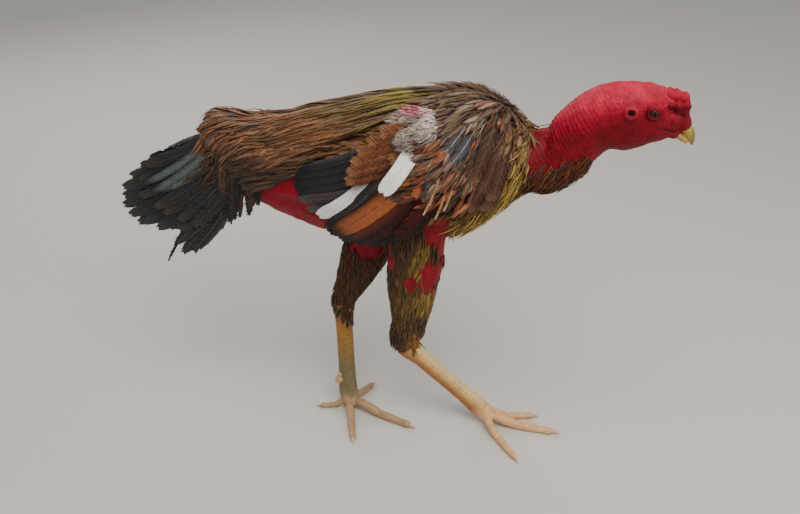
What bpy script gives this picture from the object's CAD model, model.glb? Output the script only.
# %% [markdown]
# # A game cock in full feather
# The bird is a large game cock that walks with its bare red neck held low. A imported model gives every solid
# its place and size. This script dresses those solids: one skin over the flesh, scaled legs, horn, eyes,
# and then thousands of feathers as real mesh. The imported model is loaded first, since everything else is
# placed from it.

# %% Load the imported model
import math
from contextlib import contextmanager
from functools import partial

import bmesh
import bpy
import numpy as np
from mathutils import Matrix, Vector
from mathutils.bvhtree import BVHTree


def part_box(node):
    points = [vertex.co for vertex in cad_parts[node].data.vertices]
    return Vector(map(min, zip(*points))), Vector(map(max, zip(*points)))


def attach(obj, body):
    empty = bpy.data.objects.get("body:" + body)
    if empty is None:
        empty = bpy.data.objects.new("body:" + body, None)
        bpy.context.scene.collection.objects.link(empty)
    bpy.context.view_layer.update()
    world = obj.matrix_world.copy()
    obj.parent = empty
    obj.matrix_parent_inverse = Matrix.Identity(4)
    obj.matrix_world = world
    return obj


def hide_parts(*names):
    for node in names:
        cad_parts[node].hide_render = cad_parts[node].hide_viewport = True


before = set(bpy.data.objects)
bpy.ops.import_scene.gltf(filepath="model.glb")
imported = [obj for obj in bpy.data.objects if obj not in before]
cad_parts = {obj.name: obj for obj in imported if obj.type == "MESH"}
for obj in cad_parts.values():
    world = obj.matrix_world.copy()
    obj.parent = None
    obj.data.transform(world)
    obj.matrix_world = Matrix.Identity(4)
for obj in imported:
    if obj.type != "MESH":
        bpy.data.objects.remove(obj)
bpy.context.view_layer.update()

# %% [markdown]
# ## Where things are
# All places below are measured on the bird with the floor at height 0 and the left foot near the middle.
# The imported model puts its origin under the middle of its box, so one shift takes those places to the
# model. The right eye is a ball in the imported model, so its middle gives the shift.

# %% Find the shift from the right eye
EYE = np.array((0.2706, 0.0215, 0.4590))
EYE_RADIUS = 0.0072
eye_low, eye_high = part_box("eye_right")
HOME = np.array((eye_low + eye_high) / 2) - EYE * (1, -1, 1)


def place(x, y, z):
    return Vector((x, y, z)) + Vector(HOME)


print("shift:", HOME.round(5))

# %% [markdown]
# ## Camera
# The picture looks down at the bird's right side, from a little in front. The lens is short for the
# distance, as on a phone. Lens and place could be guessed by eye, but a wrong lens makes the near leg too
# large. So they were found by laying the bird's outline over the photograph.

# %% Set the camera
CAMERA_AT = place(0.1836, -0.8636, 0.7705)
CAMERA_TO = place(0.0, 0.0, 0.240)
LENS, SENSOR = 37.35, 36.0


def put(name, data, at=None, towards=None):
    """Puts an object in the scene. A camera or a light also gets its place and what it faces."""
    made = bpy.data.objects.new(name, data)
    bpy.context.scene.collection.objects.link(made)
    if at is not None:
        made.location = at
        made.rotation_euler = (towards - at).to_track_quat("-Z", "Y").to_euler()
    return made


camera_data = bpy.data.cameras.new("camera")
camera_data.lens, camera_data.sensor_width, camera_data.sensor_fit = LENS, SENSOR, "HORIZONTAL"
camera = put("camera", camera_data, CAMERA_AT, CAMERA_TO)
bpy.context.scene.camera = camera
print("camera:", [round(v, 3) for v in camera.location])

# %% [markdown]
# ## Colours
# Colours are written as codes, as on a web page. A shader takes linear values instead, so one function
# turns the codes into those, and two short ones give them as arrays, for the colours that are painted on
# points.


# %% Helpers for colour
def linear(code):
    """An sRGB colour such as 7a1a14 as the linear red, green, blue and alpha that shaders take."""
    parts = [int(code[i : i + 2], 16) / 255 for i in (0, 2, 4)]
    return (*[p / 12.92 if p <= 0.04045 else ((p + 0.055) / 1.055) ** 2.4 for p in parts], 1.0)


def rgb(code):
    """The linear red, green and blue of an sRGB colour, as an array."""
    return np.array(linear(code)[:3])


def rgbs(codes):
    """The same for a line of colours with spaces between them."""
    return np.array([linear(code)[:3] for code in codes.split()])


print("a dark red in linear values:", rgb("7a1a14").round(3))

# %% [markdown]
# ## Materials and pieces
# Most materials here take their colour from the points of the mesh, times a fine pattern, so one helper
# wires that up and another adds a bump. Every piece ends the same way: it gets its material, rides on the
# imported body, names its slot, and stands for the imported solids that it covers.


# %% Helpers for materials and pieces
def add(tree, kind, inputs=None, **settings):
    """Adds a shader node. inputs gives each socket, by name or number, a value or another node's output."""
    made = tree.nodes.new("ShaderNode" + kind)
    for key, value in settings.items():
        setattr(made, key, value)
    for key, value in (inputs or {}).items():
        if isinstance(value, bpy.types.NodeSocket):
            tree.links.new(value, made.inputs[key])
        else:
            made.inputs[key].default_value = value
    return made


def new_material(name, **values):
    """A material with a Principled shader whose plain sockets take the given values."""
    made = bpy.data.materials.new(name)
    made.use_nodes = True
    shader = made.node_tree.nodes["Principled BSDF"]
    for key, value in values.items():
        shader.inputs[key.replace("_", " ")].default_value = value
    return made, made.node_tree, shader


def tinted(tree, shader, factor=None):
    """Takes the base colour from the points' own tint, times a pattern if there is one."""
    colour = add(tree, "Attribute", attribute_name="tint").outputs["Color"]
    if factor is not None:
        mixed = add(tree, "Mix", {0: 1.0, 6: colour, 7: factor}, data_type="RGBA", blend_type="MULTIPLY")
        colour = mixed.outputs[2]
    tree.links.new(colour, shader.inputs["Base Color"])


def bumped(tree, shader, height, strength, depth):
    """Roughens a surface with a bump of a given depth in metres."""
    bump = add(tree, "Bump", {"Height": height, "Strength": strength, "Distance": depth})
    tree.links.new(bump.outputs[0], shader.inputs["Normal"])


def finish_piece(name, mesh, surface, slot, nodes=()):
    """Makes an object of a mesh, gives it its material and slot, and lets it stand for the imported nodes."""
    made = put(name, mesh)
    mesh.materials.clear()
    mesh.materials.append(surface)
    mesh.shade_smooth()
    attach(made, "root")
    if nodes:
        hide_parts(*nodes)


print("helpers for materials and pieces ready")

# %% [markdown]
# ## Floor and light
# The floor is one pale plane. The light is soft daylight, as under a thin cloud. A sun lamp would give that
# daylight hard shadows, so panels were chosen: a broad one overhead on the camera's side, a weaker one from
# the front, and one behind that draws the back's edge, with a bright sky all round.

# %% Lay the floor and hang the lights
FLOOR_SIZE = 9.0
floor_mesh = bpy.data.meshes.new("floor")
bm = bmesh.new()
bmesh.ops.create_grid(bm, x_segments=1, y_segments=1, size=FLOOR_SIZE / 2)
bm.to_mesh(floor_mesh)
bm.free()
floor = put("floor", floor_mesh)
floor_paint, _, _ = new_material("matt floor paint", Base_Color=linear("c9c2b8"), Roughness=0.85)
floor_mesh.materials.append(floor_paint)


def panel(name, at, towards, size, power, colour):
    """A soft light panel that faces a place."""
    data = bpy.data.lights.new(name, "AREA")
    data.size = size
    data.energy = power
    data.color = linear(colour)[:3]
    put(name, data, at, towards)


panel("sky panel", place(0.35, -0.75, 1.9), place(0, 0, 0.25), 1.4, 34, "fffaf2")
panel("front panel", place(1.5, -0.6, 0.9), place(0, 0, 0.3), 1.0, 9, "f4f7ff")
panel("rear panel", place(-1.1, 1.1, 1.3), place(0, 0, 0.3), 1.2, 12, "ffffff")
world = bpy.data.worlds.new("bright sky")
world.use_nodes = True
world.node_tree.nodes["Background"].inputs["Color"].default_value = linear("e9eef5")
world.node_tree.nodes["Background"].inputs["Strength"].default_value = 0.55
bpy.context.scene.world = world

# %% [markdown]
# ## From faceted solids to living surfaces
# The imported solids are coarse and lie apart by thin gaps. Booleans could join them, but they leave sharp
# seams. So copies are put in one mesh, closed by a voxel remesh and smoothed, which gives one even surface
# to work on. The gaps between solids leave small closed bubbles inside, and those are deleted.


# %% Remesh copies of solids
def joined_copies(nodes):
    """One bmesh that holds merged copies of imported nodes."""
    bm = bmesh.new()
    for name in nodes:
        bm.from_mesh(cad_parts[name].data)
    bmesh.ops.remove_doubles(bm, verts=bm.verts[:], dist=1e-6)
    return bm


def add_ball(bm, centre, radius, sides=24):
    """Adds a ball to a bmesh, to fill or swell a place before the remesh."""
    there = Matrix.Translation(Vector(centre))
    bmesh.ops.create_uvsphere(bm, u_segments=sides, v_segments=sides // 2, radius=radius, matrix=there)


@contextmanager
def edited(mesh):
    """The mesh as a bmesh, which is written back at the end."""
    bm = bmesh.new()
    bm.from_mesh(mesh)
    yield bm
    bm.to_mesh(mesh)
    bm.free()


SPECK = 0.004  # an island with a smaller share of the points than this is a bubble


def drop_specks(mesh):
    """Deletes the small closed bubbles inside a remeshed surface."""
    with edited(mesh) as bm:
        island = np.full(len(bm.verts), -1)
        sizes = []
        for vert in bm.verts:
            if island[vert.index] >= 0:
                continue
            island[vert.index] = len(sizes)
            queue, size = [vert], 0
            while queue:
                here = queue.pop()
                size += 1
                for edge in here.link_edges:
                    there = edge.other_vert(here)
                    if island[there.index] < 0:
                        island[there.index] = len(sizes)
                        queue.append(there)
            sizes.append(size)
        small = np.array(sizes) < SPECK * len(bm.verts)
        bmesh.ops.delete(bm, geom=[v for v in bm.verts if small[island[v.index]]], context="VERTS")
    print("surface:", mesh.name, "keeps", int((~small).sum()), "islands, drops", int(small.sum()))


def remeshed(name, bm, voxel, smoothing):
    """The bmesh's outer surface as an even mesh of small squares, smoothed by some steps."""
    mesh = bpy.data.meshes.new(name)
    bm.to_mesh(mesh)
    bm.free()
    scratch = put(name, mesh)
    closing = scratch.modifiers.new("close", "REMESH")
    closing.mode = "VOXEL"
    closing.voxel_size = voxel
    softening = scratch.modifiers.new("soften", "SMOOTH")
    softening.factor = 0.5
    softening.iterations = smoothing
    graph = bpy.context.evaluated_depsgraph_get()
    result = bpy.data.meshes.new_from_object(scratch.evaluated_get(graph), depsgraph=graph)
    bpy.data.objects.remove(scratch)
    result.name = name
    drop_specks(result)
    return result


print("remesh helpers ready")

# %% [markdown]
# ## Points as whole arrays
# A skin has tens of thousands of points, and a loop over them would be slow. So points, normals and colours
# are read and written as whole arrays. Two number tools shape them: smooth noise, for what is uneven in
# nature, and soft steps between two values.


# %% Read and write points, and two number tools
def read(items, key):
    """One vector for each of a mesh's items."""
    flat = np.empty(len(items) * 3, dtype=np.float64)
    items.foreach_get(key, flat)
    return flat.reshape(-1, 3)


def points_of(mesh):
    return read(mesh.vertices, "co")


def normals_of(mesh):
    return read(mesh.vertex_normals, "vector")


def set_points(mesh, points):
    mesh.vertices.foreach_set("co", points.astype(np.float32).ravel())
    mesh.update()


def set_colour(mesh, name, colours):
    """Writes one linear colour per point."""
    layer = mesh.color_attributes.new(name, "FLOAT_COLOR", "POINT")
    rgba = np.ones((len(colours), 4), dtype=np.float32)
    rgba[:, :3] = colours
    layer.data.foreach_set("color", rgba.ravel())


def unit(vectors):
    """Vectors at length one."""
    return vectors / np.maximum(np.linalg.norm(vectors, axis=-1, keepdims=True), 1e-9)


def smooth_step(low, high, values):
    """0 below low, 1 above high, and a soft step between. With low above high the step falls."""
    t = np.clip((values - low) / (high - low), 0.0, 1.0)
    return t * t * (3 - 2 * t)


def noise(points, size, seed=0):
    """Smooth random numbers from -1 to 1 for each point, that change over about the given size."""
    cell = np.floor(points / size).astype(np.int64)
    part = points / size - cell
    part = part * part * (3 - 2 * part)
    total = 0.0
    for corner in range(8):
        step = np.array([(corner >> k) & 1 for k in range(3)])
        key = (cell + step) * np.array([73856093, 19349663, 83492791])
        mixed = (key[:, 0] ^ key[:, 1] ^ key[:, 2] ^ (seed * 971)) & 0xFFFFFF
        mixed = (mixed * 1103515245 + 12345) & 0x7FFFFFFF
        weight = np.prod(np.where(step, part, 1 - part), axis=1)
        total = total + weight * (mixed / 0x3FFFFFFF - 1)
    return total


print("number tools ready")

# %% [markdown]
# ## The skin
# A bird's bare skin runs from the bill back to the crop, and goes on under the feathers as a thinner body.
# Each solid could get a skin of its own, but then a seam would show at every joint. So one skin stands for
# head, neck, trunk and thighs. The fleshy forehead and the folded wings' arms are balls that the remesh
# melts into it.

# %% Remesh the flesh
FLESH = ["torso", "saddle", "neck_lower", "neck_upper", "head", "drumstick_left", "drumstick_right"]
EAR = np.array((0.2480, 0.0262, 0.4585))
SKIN_VOXEL = 0.0026
# Balls for the fleshy forehead and the cere, which run forward under the comb and round the bill's root:
# forward, half the distance between the two sides, up, and radius.
CERE = [
    (0.2640, 0.0, 0.4690, 0.0145), (0.2740, 0.0, 0.4680, 0.0132), (0.2840, 0.0, 0.4645, 0.0120),
    (0.2945, 0.0, 0.4595, 0.0106), (0.2990, 0.0, 0.4505, 0.0106), (0.3045, 0.0, 0.4440, 0.0082),
    (0.2935, 0.0060, 0.4470, 0.0085), (0.2935, 0.0, 0.4350, 0.0076), (0.2990, 0.0, 0.4330, 0.0062),
    (0.2925, 0.0050, 0.4325, 0.0060), (0.2965, 0.0042, 0.4305, 0.0054), (0.3060, 0.0045, 0.4405, 0.0052),
    (0.3078, 0.0030, 0.4428, 0.0054),
]
# The folded wing's arm swells the trunk under the wing feathers: its middle, half sizes and slope.
ARM_MIDDLE, ARM_SIZE, ARM_SLOPE = np.array((0.008, 0.030, 0.368)), (0.100, 0.036, 0.048), math.radians(28)


def add_balls(bm, balls):
    """Balls on the bird's middle line, or in pairs beside it."""
    for forward, half, up, radius in balls:
        for side in (1, -1) if half else (1,):
            add_ball(bm, HOME + np.array((forward, half * side, up)), radius)


bm = joined_copies(FLESH)
for side in (1, -1):
    add_ball(bm, HOME + EYE * (1, side, 1), EYE_RADIUS + 0.0006)
    add_ball(bm, HOME + (EAR - (0, 0.0022, 0)) * (1, side, 1), 0.0058)
add_balls(bm, CERE)
for side in (1, -1):
    arm = Matrix.Translation(place(*ARM_MIDDLE * (1, side, 1))) @ Matrix.Rotation(-ARM_SLOPE, 4, "Y")
    arm = arm @ Matrix.Diagonal((*ARM_SIZE, 1))
    bmesh.ops.create_uvsphere(bm, u_segments=32, v_segments=16, radius=1, matrix=arm)
skin = remeshed("skin", bm, SKIN_VOXEL, 3)
print("skin points:", len(skin.vertices))

# %% [markdown]
# ## Finer squares where they are needed
# The rear of the trunk is smoothed more, because steps between the solids would show there. The whole skin
# could be made of finer squares, but most of it lies under feathers. So only the neck and the head get
# them, and the ring round each eye gets the finest.


# %% Soften the rear and refine the neck and the head
def refine(mesh, chosen):
    """Splits the squares whose corners are all chosen by chosen(points)."""
    pick = chosen(points_of(mesh))
    with edited(mesh) as bm:
        edges = [e for e in bm.edges if pick[e.verts[0].index] and pick[e.verts[1].index]]
        bmesh.ops.subdivide_edges(bm, edges=edges, cuts=1, use_grid_fill=True)


def soften(mesh, chosen, rounds):
    """Smooths the points that chosen(points) names."""
    pick = chosen(points_of(mesh))
    every_way = dict(use_axis_x=True, use_axis_y=True, use_axis_z=True)
    with edited(mesh) as bm:
        for _ in range(rounds):
            bmesh.ops.smooth_vert(bm, verts=[v for v in bm.verts if pick[v.index]], factor=0.5, **every_way)


soften(skin, lambda p: p[:, 0] < HOME[0] - 0.02, 14)
NECK_FROM, HEAD_FROM = 0.140, 0.222
refine(skin, lambda p: p[:, 0] > HOME[0] + NECK_FROM)
refine(skin, lambda p: p[:, 0] > HOME[0] + HEAD_FROM)
refine(skin, lambda p: np.linalg.norm(np.abs(p - HOME) - np.abs(EYE), axis=1) < 0.0125)
print("skin points:", len(skin.vertices), "faces:", len(skin.polygons))

# %% [markdown]
# ## Room for the coat
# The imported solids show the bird's outline with its feathers on, and under them the body is thinner.
# Feathers grown straight on the solids would make the bird too fat. So the skin is pulled in by the depth
# of the coat, least on the thighs and at the rump, where the feathers lie thin. The bare neck and head keep
# their size.

# %% Pull the skin in under the feathers
LEG_TOP = 0.262
COAT_DEPTH, THIGH_DEPTH, RUMP_GAIN = 0.0050, 0.0028, 0.0038
rest = points_of(skin) - HOME
normal = normals_of(skin)
x, y, z = rest.T
side = np.sign(y)
shaped = rest.copy()
feathered = smooth_step(0.150, 0.128, x) * smooth_step(0.052, 0.075, z)
trunk_depth = COAT_DEPTH - RUMP_GAIN * smooth_step(-0.13, -0.17, x)
depth = np.where(z < LEG_TOP, THIGH_DEPTH, trunk_depth) * feathered
shaped -= normal * depth[:, None]
print("deepest under the coat, in mm:", round(1000 * depth.max(), 2))

# %% [markdown]
# ## Eyelids
# The eyeball is a ball sunk in the head, and the lids are skin drawn over it, with an almond opening. Lids
# made as separate rings would need a join to the skin. So each skin point near the eye is moved along its
# line from the eye's middle: inside the opening it goes behind the ball's surface, and round it just over
# the surface, with a thicker rim and two faint creases outside.

# %% Draw the lids over the eyeballs
LID_LENGTH, LID_HEIGHT = 0.0050, 0.0040
LID_SLOPE = math.radians(14)
along = np.array((math.cos(LID_SLOPE), 0.0, -math.sin(LID_SLOPE)))
eye_at = EYE * np.stack([np.ones_like(y), side, np.ones_like(y)], axis=1)
from_eye = shaped - eye_at
far = np.linalg.norm(from_eye, axis=1)
ray = from_eye / np.maximum(far, 1e-6)[:, None]
outward = np.stack([np.full_like(y, 0.12), side * 0.98, np.full_like(y, 0.08)], axis=1)
facing = (ray * outward).sum(axis=1)
level = ray @ along * EYE_RADIUS / LID_LENGTH
height = ray @ np.array((math.sin(LID_SLOPE), 0.0, math.cos(LID_SLOPE))) * EYE_RADIUS / LID_HEIGHT
ring = np.sqrt(level**2 + height**2)
opening = smooth_step(1.04, 0.90, ring)
RIM, BEHIND = EYE_RADIUS + 0.00115, EYE_RADIUS - 0.0014
crease = 0.00045 * np.exp(-(((ring - 1.12) / 0.13) ** 2)) - 0.0004 * np.exp(-(((ring - 1.62) / 0.16) ** 2))
crease += 0.0003 * np.exp(-(((ring - 2.0) / 0.16) ** 2))
lid_radius = RIM - 0.0002 + crease - (RIM - BEHIND) * opening
near = smooth_step(2.6, 1.7, ring) * (facing > 0.25) * (far < 0.016)
shaped += ray * ((lid_radius - far) * near)[:, None]
print("lid points:", int((near > 0.5).sum()))

# %% [markdown]
# ## Ear and mouth
# The ear is a pit with a raised ring, since no feathers cover it here. The mouth is a shallow groove that
# runs back from the bill, with a low lip beside it, and it fades towards its corner. Both could be cut out,
# but moving the skin's own points keeps it one smooth surface.

# %% Press in the ears and the mouth
EAR_OUT = 0.0042
ear_at = EAR * np.stack([np.ones_like(y), side, np.ones_like(y)], axis=1)
ear_ring = np.linalg.norm((shaped - ear_at)[:, [0, 2]], axis=1)
on_ear = (np.abs(y) > 0.015) & (ear_ring < 0.014)
pit = 0.0011 * np.exp(-(((ear_ring - EAR_OUT * 1.4) / 0.0014) ** 2))
pit -= 0.0034 * smooth_step(EAR_OUT, 0.0014, ear_ring)
shaped[:, 1] += side * pit * on_ear

GAPE_FROM, GAPE_TO = np.array((0.2960, 0.4345)), np.array((0.2760, 0.4425))
run = GAPE_TO - GAPE_FROM
share = np.clip(((shaped[:, [0, 2]] - GAPE_FROM) @ run) / (run @ run), 0, 1)
gape = np.linalg.norm(shaped[:, [0, 2]] - GAPE_FROM - share[:, None] * run, axis=1)
groove = 0.0011 * np.exp(-((gape / 0.0011) ** 2)) - 0.0009 * np.exp(-(((gape - 0.0032) / 0.0016) ** 2))
shaped -= normal * (groove * (x > 0.262) * (np.abs(y) > 0.004) * (1 - 0.7 * share))[:, None]
print("ear points:", int(on_ear.sum()))

# %% [markdown]
# ## Folds and granules
# The neck's skin lies in close rings of small beads, the head's in fine granules. They could be bump in the
# material, but bump leaves the outline smooth, so both are in the mesh. The rings follow a sine along the
# neck that wavers with smooth noise. A notch sets the neck off from the shoulders, and the bare flank gets
# soft unevenness.

# %% Fold the bare skin
bare = smooth_step(0.140, 0.165, x)
head_part = smooth_step(0.205, 0.235, x)
FOLD = 0.0044
neck_way = 0.80 * x + 0.60 * (z - 0.42)
waver = 0.0022 * noise(rest, 0.014, 3) + 0.0010 * noise(rest, 0.005, 4)
fold = np.abs(np.sin(math.pi * (neck_way + 0.8 * waver) / FOLD)) ** 0.8
beads = 0.6 + 0.9 * np.abs(noise(rest, 0.0030, 9))
grain = np.abs(noise(rest, 0.0019, 5)) + 0.5 * np.abs(noise(rest, 0.0010, 6))
calm = (1 - near) * smooth_step(0.300, 0.284, x)
folds = bare * (1 - head_part) * 0.00095 * fold * beads
granules = bare * (0.00030 + 0.00025 * head_part) * (1 - grain * 1.2) * calm
soft_hills = bare * 0.0007 * noise(rest, 0.011, 7) * calm
notch = 0.0030 * np.exp(-(((x - 0.1640) / 0.0045) ** 2)) * smooth_step(0.395, 0.425, z)
shaped += normal * (folds + granules + soft_hills - notch)[:, None]
flank = smooth_step(-0.185, -0.160, x) * smooth_step(-0.015, -0.045, x) * smooth_step(0.385, 0.360, z)
shaped += normal * (flank * 0.0009 * noise(rest, 0.006, 8))[:, None]
set_points(skin, shaped + HOME)
print("highest fold, in mm:", round(1000 * folds.max(), 2))

# %% [markdown]
# ## Where colours lie
# A feathered bird is a map of patches: golden breast, grey-brown shoulders, olive and brown back. The map
# could be painted as an image. A short list of soft ellipses on the bird's side was chosen, because skin
# and feathers can both read it, and a gap between feathers then shows the same shade. The large feathers of
# wing and tail have tones of their own.

# %% Name the patches of the plumage
# Each patch: its middle forward and up, its half sizes, and its colour. Later ones lie over earlier ones.
PATCHES = [
    (0.10, 0.33, 0.060, 0.080, "8e6a2c"),
    (0.140, 0.375, 0.030, 0.060, "a8863a"),
    (0.120, 0.320, 0.030, 0.040, "a88a3a"),
    (0.100, 0.445, 0.050, 0.035, "563c2d"),
    (0.075, 0.470, 0.060, 0.012, "48311f"),
    (0.065, 0.425, 0.030, 0.025, "7a6250"),
    (0.118, 0.410, 0.022, 0.040, "64391d"),
    (-0.040, 0.450, 0.040, 0.014, "6e5534"),
    (-0.060, 0.415, 0.060, 0.030, "85522c"),
    (-0.120, 0.390, 0.070, 0.040, "6c4224"),
    (-0.190, 0.400, 0.050, 0.025, "6e4630"),
    (0.034, 0.464, 0.024, 0.012, "8a7a2e"),
]
WORN = [(0.020, 0.430, 0.014, 0.012, "b7a79a")]
BASE_FEATHER = "5f4228"


def away_from(points, forward, up, half_length, half_height):
    """Squared distance from an ellipse's middle, seen from the side. It is 1 on the ellipse's edge."""
    return ((points[:, 0] - forward) / half_length) ** 2 + ((points[:, 2] - up) / half_height) ** 2


def blend(points, patches, base):
    """Tones at points from soft ellipses over a base tone. Points are measured from the shifted origin."""
    colour = np.tile(rgb(base), (len(points), 1))
    for *ellipse, code in patches:
        share = np.exp(-(away_from(points, *ellipse) ** 2))[:, None]
        colour = colour * (1 - share) + rgb(code) * share
    return colour


def feather_colour(points):
    """The plumage's colour at points, worn pale under the down of the right shoulder only."""
    worn = blend(points, PATCHES + WORN, BASE_FEATHER)
    return np.where(points[:, 1:2] < 0, worn, blend(points, PATCHES, BASE_FEATHER))


print("patches:", len(PATCHES))

# %% [markdown]
# ## The tones of bare skin
# A cock in condition has blood-red skin. It is paler and pinker on the crown, where light passes through
# dry skin, and deep red under the head. The eye's socket, the ear's pit and the mouth are darker still.
# Where feathers grow the skin takes a dark shade of their own patch, so that nothing red shines through the
# coat.


# %% Paint the skin's points
def skin_colour(points):
    """Bare skin: bright red, deeper below, paler and pinker on the crown."""
    x, _, z = points.T
    red, deep, pink = rgbs("b0082c 56000a d44e64")
    crown = smooth_step(-0.012, 0.032, z - (0.4250 + 0.35 * np.clip(x - 0.16, 0, 0.09)))
    light = 0.25 + 0.95 * crown + 0.22 * smooth_step(0.12, 0.04, x)
    colour = deep + (red - deep) * np.clip(light, 0, 1)[:, None]
    colour += (pink - colour) * (0.34 * crown**2 * (0.6 + 0.5 * noise(points, 0.006, 11)))[:, None]
    colour *= (1 + 0.24 * noise(points, 0.009, 12) + 0.20 * noise(points, 0.0022, 13))[:, None]
    return np.clip(colour, 0.002, 1)


EAR_PIT_TONE, EAR_RIM_TONE = rgbs("2a0b07 c8606c")
hip = smooth_step(0.015, 0.035, x) * smooth_step(0.375, 0.355, z) * (np.abs(y) > 0.025)
on_thigh = smooth_step(0.190, 0.230, z) * np.maximum(hip, smooth_step(0.305, 0.285, z)) * (x < 0.085)
neck_from = 0.118 + 0.022 * smooth_step(0.405, 0.425, z)
naked = np.clip(smooth_step(neck_from, neck_from + 0.014, x) + flank + 0.9 * on_thigh, 0, 1)[:, None]
socket = np.exp(-((ring / 1.5) ** 4)) * (facing > 0.2) * (far < 0.014)
tones = skin_colour(rest) * naked + feather_colour(rest) * 0.55 * (1 - naked)
tones *= (1 - 0.75 * socket * smooth_step(0.95, 1.15, ring))[:, None]
in_ear = (on_ear * smooth_step(EAR_OUT * 0.95, EAR_OUT * 0.6, ear_ring))[:, None]
tones = tones * (1 - in_ear) + EAR_PIT_TONE * in_ear
ear_rim = (0.16 * on_ear * np.exp(-(((ear_ring - EAR_OUT * 1.45) / 0.0011) ** 2)))[:, None]
tones = tones * (1 - ear_rim) + EAR_RIM_TONE * ear_rim
tones *= (1 - 0.35 * np.exp(-((gape / 0.0012) ** 2)) * (x > 0.272) * (np.abs(y) > 0.004))[:, None]
set_colour(skin, "tint", tones)
print("skin tones:", tones.mean(axis=0).round(3))

# %% [markdown]
# ## The skin's unwrap
# Baking needs a flat map of the skin. Blender could unwrap it along seams, but feathers have to find their
# place on the same map later, so a formula is better. It is a plain cylinder map of the bird's own shape:
# forward position across, and the angle round the body's middle line up. The two thighs have strips of
# their own.

# %% Unwrap the skin
# The body's middle line: forward and up.
MIDDLE_LINE = np.array([
    (-0.26, 0.385), (-0.15, 0.350), (0.0, 0.362), (0.10, 0.385),
    (0.165, 0.390), (0.22, 0.437), (0.32, 0.445),
])


def unwrap(points):
    """Places on the unwrap of the body for points that are measured from the shifted origin."""
    x, y, z = points.T
    middle = np.interp(x, MIDDLE_LINE[:, 0], MIDDLE_LINE[:, 1])
    u = 0.02 + 0.96 * (x + 0.30) / 0.64
    v = 0.02 + 0.56 * (0.5 + np.arctan2(y, z - middle) / math.tau)
    on_leg = z < LEG_TOP
    left = y > 0.004
    leg_x = np.where(left, -0.083, 0.0135) + (z - 0.13) * np.where(left, 0.39, 0.08)
    leg_v = 0.5 + np.arctan2(y - np.where(left, 0.026, -0.027), x - leg_x) / math.tau
    u = np.where(on_leg, 0.02 + 0.9 * z / LEG_TOP, u)
    v = np.where(on_leg, np.where(left, 0.62, 0.82) + 0.16 * leg_v, v)
    return np.stack([u, v], axis=1)


def corners_of(mesh):
    """The point of each face corner."""
    corner = np.empty(len(mesh.loops), dtype=np.int64)
    mesh.loops.foreach_get("vertex_index", corner)
    return corner


def write_map(mesh, name, at):
    """Writes a UV map from one place per face corner."""
    layer = mesh.uv_layers.new(name=name)
    layer.data.foreach_set("uv", at.astype(np.float32).ravel())


def set_map(mesh, name, places):
    """Writes a UV map from one place per point, and keeps each face on one side of the map's seam."""
    starts = np.empty(len(mesh.polygons), dtype=np.int64)
    counts = np.empty(len(mesh.polygons), dtype=np.int64)
    mesh.polygons.foreach_get("loop_start", starts)
    mesh.polygons.foreach_get("loop_total", counts)
    at = places[corners_of(mesh)]
    first = np.repeat(at[starts], counts, axis=0)
    torn = np.abs(at - first).max(axis=1) > 0.05
    at[torn] = first[torn]
    write_map(mesh, name, at)


set_map(skin, "OFBake", unwrap(rest))
print("map places:", unwrap(rest).min(axis=0).round(3), unwrap(rest).max(axis=0).round(3))

# %% [markdown]
# ## The skin's material
# Living skin is moist and lets a little light in, so its material has some depth of colour and a soft
# gloss. The granules of about a millimetre and the pores between them are only pattern and bump, because
# the larger folds are in the mesh.

# %% Make the skin's material and finish the skin
GRANULE, PORE = 0.0011, 0.0022
skin_paint, tree, shader = new_material(
    "bare living skin",
    Roughness=0.52,
    Subsurface_Weight=0.08,
    Subsurface_Scale=0.003,
    Specular_IOR_Level=0.15,
)
shader.inputs["Subsurface Radius"].default_value = (1.0, 0.25, 0.15)
here = add(tree, "TexCoord").outputs["Object"]
cells = add(tree, "TexVoronoi", {"Vector": here, "Scale": 1 / GRANULE}, feature="F1")
pores = add(tree, "TexNoise", {"Vector": here, "Scale": 1 / PORE, "Detail": 4.0})
shade = add(tree, "MapRange", {"Value": cells.outputs["Distance"], "To Min": 1.12, "To Max": 0.72})
tinted(tree, shader, shade.outputs[0])
relief = add(tree, "Math", {0: cells.outputs["Distance"], 1: -0.8}, operation="MULTIPLY")
relief = add(tree, "Math", {0: relief.outputs[0], 1: pores.outputs["Fac"]}, operation="ADD")
bumped(tree, shader, relief.outputs[0], 0.35, 0.0006)
finish_piece("skin", skin, skin_paint, "red_skin", FLESH)
print("skin faces:", len(skin.polygons))

# %% [markdown]
# ## Eyes
# A fowl's eye is a wet ball with a dark amber iris and a round black pupil. An image could carry the iris,
# but it would need an unwrap. So the ball is turned until its pole looks out through the lids, and the
# points of its rings carry the pupil, the iris and its dark edge. The cornea's bulge is real: the points
# near the pole are pushed out a little.

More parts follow.
